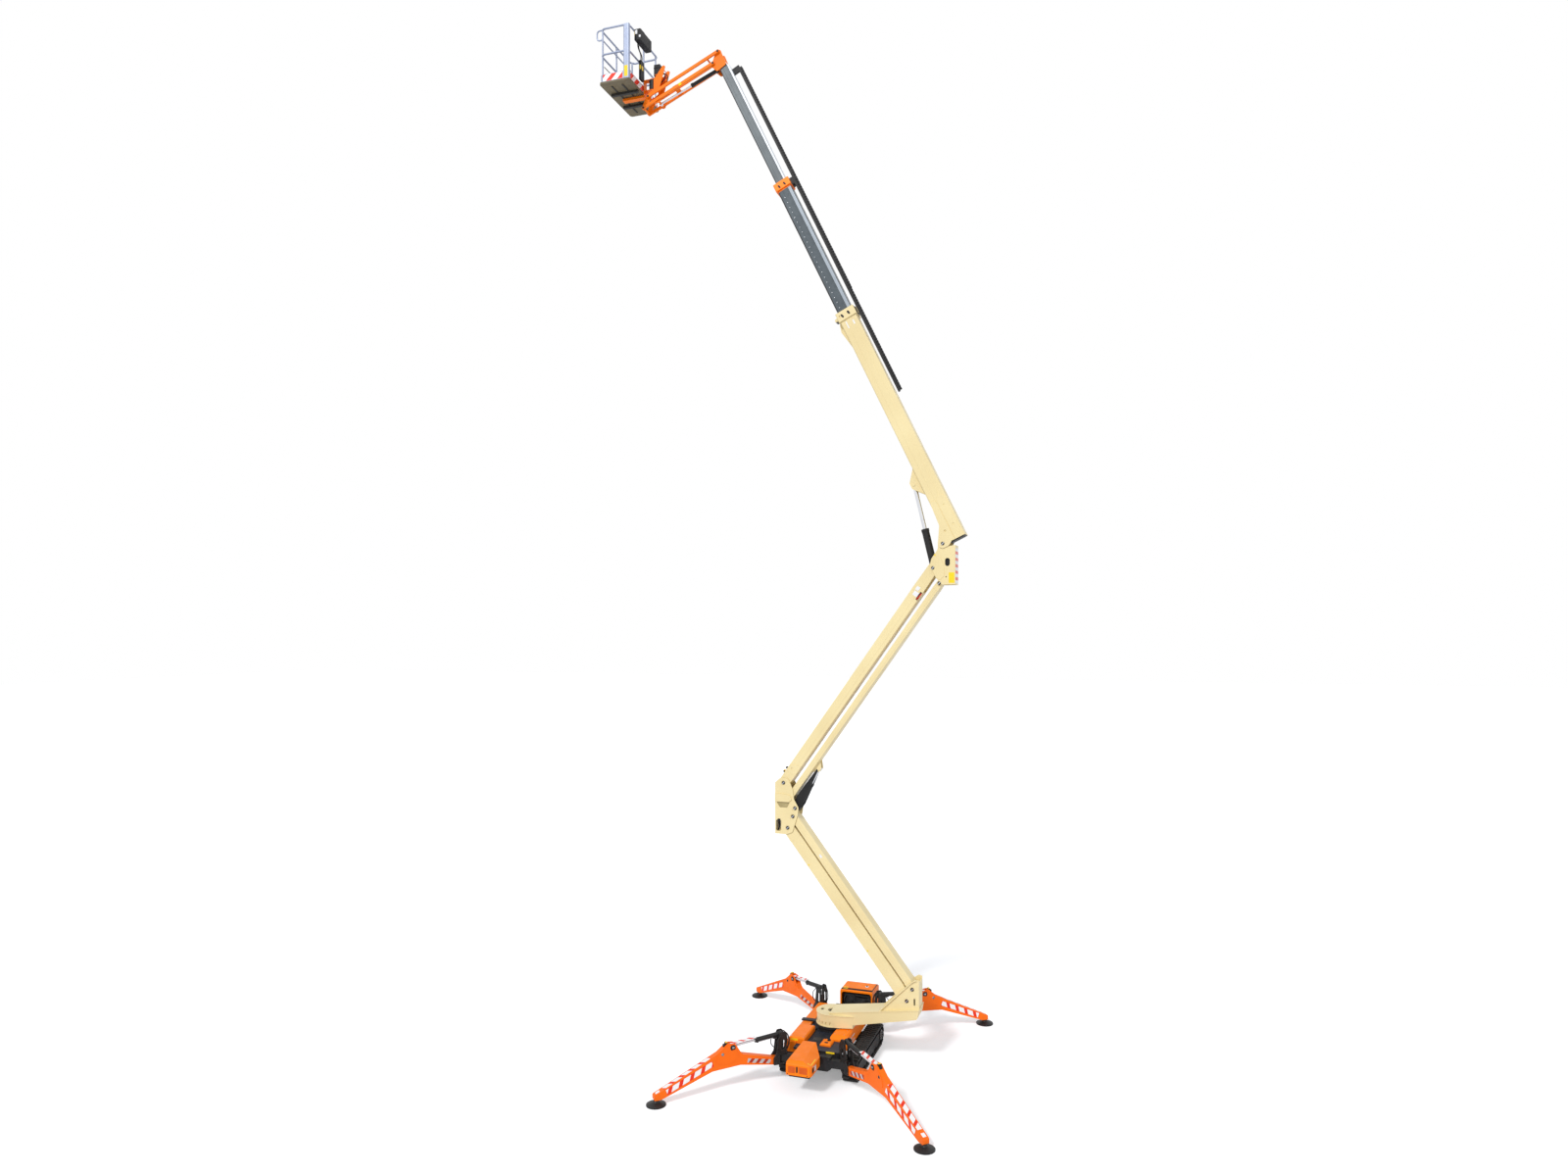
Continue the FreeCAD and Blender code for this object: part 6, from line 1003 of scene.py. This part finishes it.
for name, skin, start, height, count in (("head_white_stripes", film_white, -0.74, 0.06, 6),
                                         ("head_red_stripes", film_red, -0.68, 0.055, 5)):
    starts = [start + i * STRIPE_PITCH for i in range(count)]
    film(name, [(head_end, (-STRIPE_HALF, z), (STRIPE_HALF, z + height)) for z in starts], skin, "head")
caps = bmesh.new()
for along in (1.15, 3.1):
    drum(caps, (along, -0.139, 0.085), FORE, 0.015, 0.006, 20, 0.012)
piece("lower_beam_caps", caps, lower, film_yellow, "lower_beam")
caps = bmesh.new()
drum(caps, (-0.15, -0.162, -0.21), FORE, 0.016, 0.006, 20, 0.012)
piece("head_cap", caps, boom_foot, film_yellow, "head")
# Dark plates inside the head bracket's hole: painted shade.
shade_plate = bmesh.new()
twin_blocks(shade_plate, (0.0005, 0.1385, -0.4625), (0.1695, 0.1415, -0.2275))
piece("head_hole_shade", shade_plate, boom_foot, plastic, "head")
# Dark plate in the upper beam's cable window: painted shade behind the cables.
shade_plate = bmesh.new()
block(shade_plate, (4.43, -0.1412, -0.105), (4.60, -0.1398, -0.065))
piece("upper_cable_window", shade_plate, upper, plastic, "upper_beam")
cables = [[(4.44, -0.146, -0.075), (4.49, -0.150, -0.083), (4.54, -0.150, -0.090), (4.59, -0.146, -0.098)],
          [(4.44, -0.146, -0.092), (4.49, -0.150, -0.098), (4.53, -0.149, -0.102), (4.57, -0.146, -0.104)]]
hoses("upper_cables", cables, 0.005, upper, film_red, "upper_beam")
film("main_boom_film", [(main_side, (4.55, -0.24), (4.70, -0.20)), (main_side, (4.57, -0.36), (4.66, -0.31))],
     film_white, "main_boom")


# Jib
# Black cable box on the link with its lid, red and black cables that loop out of it into the link's plate,
# and black pin ends on the knuckle and the link.
JIB_PINS = ((0.0, 0.0), (-0.105, -0.220))
JIB_FACE = 0.159
CABLE_EXIT = 0.50
link = Matrix.Translation(pins["jib_link_hinge"])
box_lid = bmesh.new()
block(box_lid, (0.084, -0.066, 0.598), (0.226, 0.066, 0.612))
for y in (-0.03, 0.03):
    drum(box_lid, (0.222, y, CABLE_EXIT), RIGHT, 0.016, 0.02, 18)
piece("junction_box_lid", box_lid, link, plastic, "jib_link", bevel=0.003)
cables = [[(0.24, -0.03, CABLE_EXIT), (0.31, -0.04, 0.47), (0.33, -0.05, 0.37), (0.26, -0.055, 0.29),
           (0.155, -0.055, 0.28)],
          [(0.24, 0.03, CABLE_EXIT), (0.32, 0.04, 0.49), (0.35, 0.05, 0.38), (0.28, 0.055, 0.28),
           (0.155, 0.055, 0.26)]]
hoses("junction_cables", cables, 0.009, link, hose_rubber, "jib_link")
red_cable = [(0.215, 0.0, 0.53), (0.29, -0.01, 0.55), (0.345, -0.02, 0.45), (0.30, -0.03, 0.33),
             (0.155, -0.03, 0.31)]
hoses("junction_red_cable", [red_cable], 0.008, link, film_red, "jib_link")
for body, pin in (("jib_knuckle", "jib_luff"), ("jib_link", "jib_link_hinge")):
    ends = bmesh.new()
    for x, z in JIB_PINS:
        twin_drums(ends, (x, JIB_FACE, z), 0.023, 0.008, 24, 0.02)
    piece(body + "_pins", ends, Matrix.Translation(pins[pin]), black_paint, body, bevel=0.001)


# Basket's console
# Black moulded console hung on the rail: sloping lid with blank plates, joystick guards, emergency stop, and
# the cables that drop from it to the panel box.
LID_HEIGHT = 0.008
KEY_SINK = 0.004        # how far joysticks and stop start above the console's top
FILM_GAP = 0.0002
console_low, console_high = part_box("basket_console")
panel_low, panel_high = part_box("basket_panel")
x0, y0, drop = console_low
x1, y1, top = console_high
lid = bmesh.new()
outline = [(x0 + 0.012, top), (x0 + 0.022, top + LID_HEIGHT), (x1 - 0.022, top + LID_HEIGHT),
           (x1 - 0.010, top)]
prism(lid, outline, y0 + 0.012, y1 - 0.012)
for y in (0.10, 0.25, 0.38):
    drum(lid, (x0 + 0.06, y0 + y, top + KEY_SINK), RISE, 0.022, 0.010, 24, 0.018)
piece("console_lid", lid, WORLD, plastic, "basket", bevel=0.003)
console_top = Matrix.Translation((x0, y0, top + 0.0085))
console_front = lying(WORLD, (x0, y0 - FILM_GAP, drop))
film("console_white_film", [(console_top, (0.09, 0.03), (0.13, 0.20)),
                            (console_front, (0.01, 0.12), (0.065, 0.20)),
                            (console_front, (0.10, 0.045), (0.14, 0.09))], film_white, "basket")
film("console_yellow_film", [(console_front, (0.0, 0.10), (0.012, 0.18))], film_yellow, "basket")
panel_front = lying(WORLD, (panel_low.x, panel_low.y - FILM_GAP, panel_low.z))
panel_side = lying(WORLD, (panel_high.x + FILM_GAP, panel_low.y, panel_low.z), AFT)
film("panel_yellow_film", [(panel_front, (0.012, 0.20), (0.05, 0.29)),
                           (panel_side, (0.04, 0.2), (0.10, 0.29))], film_yellow, "basket")
stop = bmesh.new()
drum(stop, (x0 + 0.06, y0 + 0.45, top + KEY_SINK), RISE, 0.020, 0.012, 24, 0.018)
piece("console_stop_button", stop, WORLD, film_red, "basket", bevel=0.002)
socket = panel_high.z
cables = [[(x0 + 0.03, y, drop + 0.01), (x0 + 0.03, y + 0.01, drop - 0.09), (x0 + 0.028, end, socket + 0.10),
           (x0 + 0.025, end, socket - 0.005)] for y, end in ((-0.30, -0.16), (-0.27, -0.125), (-0.24, -0.09))]
hoses("console_cables", cables, 0.0065, WORLD, hose_rubber, "basket")


# Basket's post, entry bar and floor
# A blank yellow plate on the wide corner post, the black bar that drops across the entry with its grip, and
# the ribs of the floor's non-slip sheet.
GATE_HEIGHT = 0.40
FLOOR_RIBS = 48
FLOOR_RIB_PITCH = 0.027
middle = pins["basket_turn"].y
post_face = lying(WORLD, (basket_high.x - 0.136, basket_low.y + 0.0058, FLOOR_TOP))
film("corner_post_film", [(post_face, (0.026, 0.03), (0.104, 0.25))], film_yellow, "basket")
bar = bmesh.new()
for y, radius, length in ((-0.52, 0.008, 1.05), (-0.10, 0.016, 0.08)):
    drum(bar, (basket_low.x + 0.025, middle + y, FLOOR_TOP + GATE_HEIGHT), AFT, radius, length, 16)
piece("entry_bar", bar, WORLD, black_paint, "basket")
ribs = bmesh.new()
block(ribs, (basket_low.x + 0.05, 0.0, 0.0), (basket_high.x - 0.05, TREAD_WIDTH, TREAD_HEIGHT))
row("basket_floor_tread", ribs, FLOOR_RIBS, (0.0, FLOOR_RIB_PITCH, 0.0),
    Matrix.Translation((0.0, -0.58, FLOOR_TOP - 0.0002)), bright, "basket")
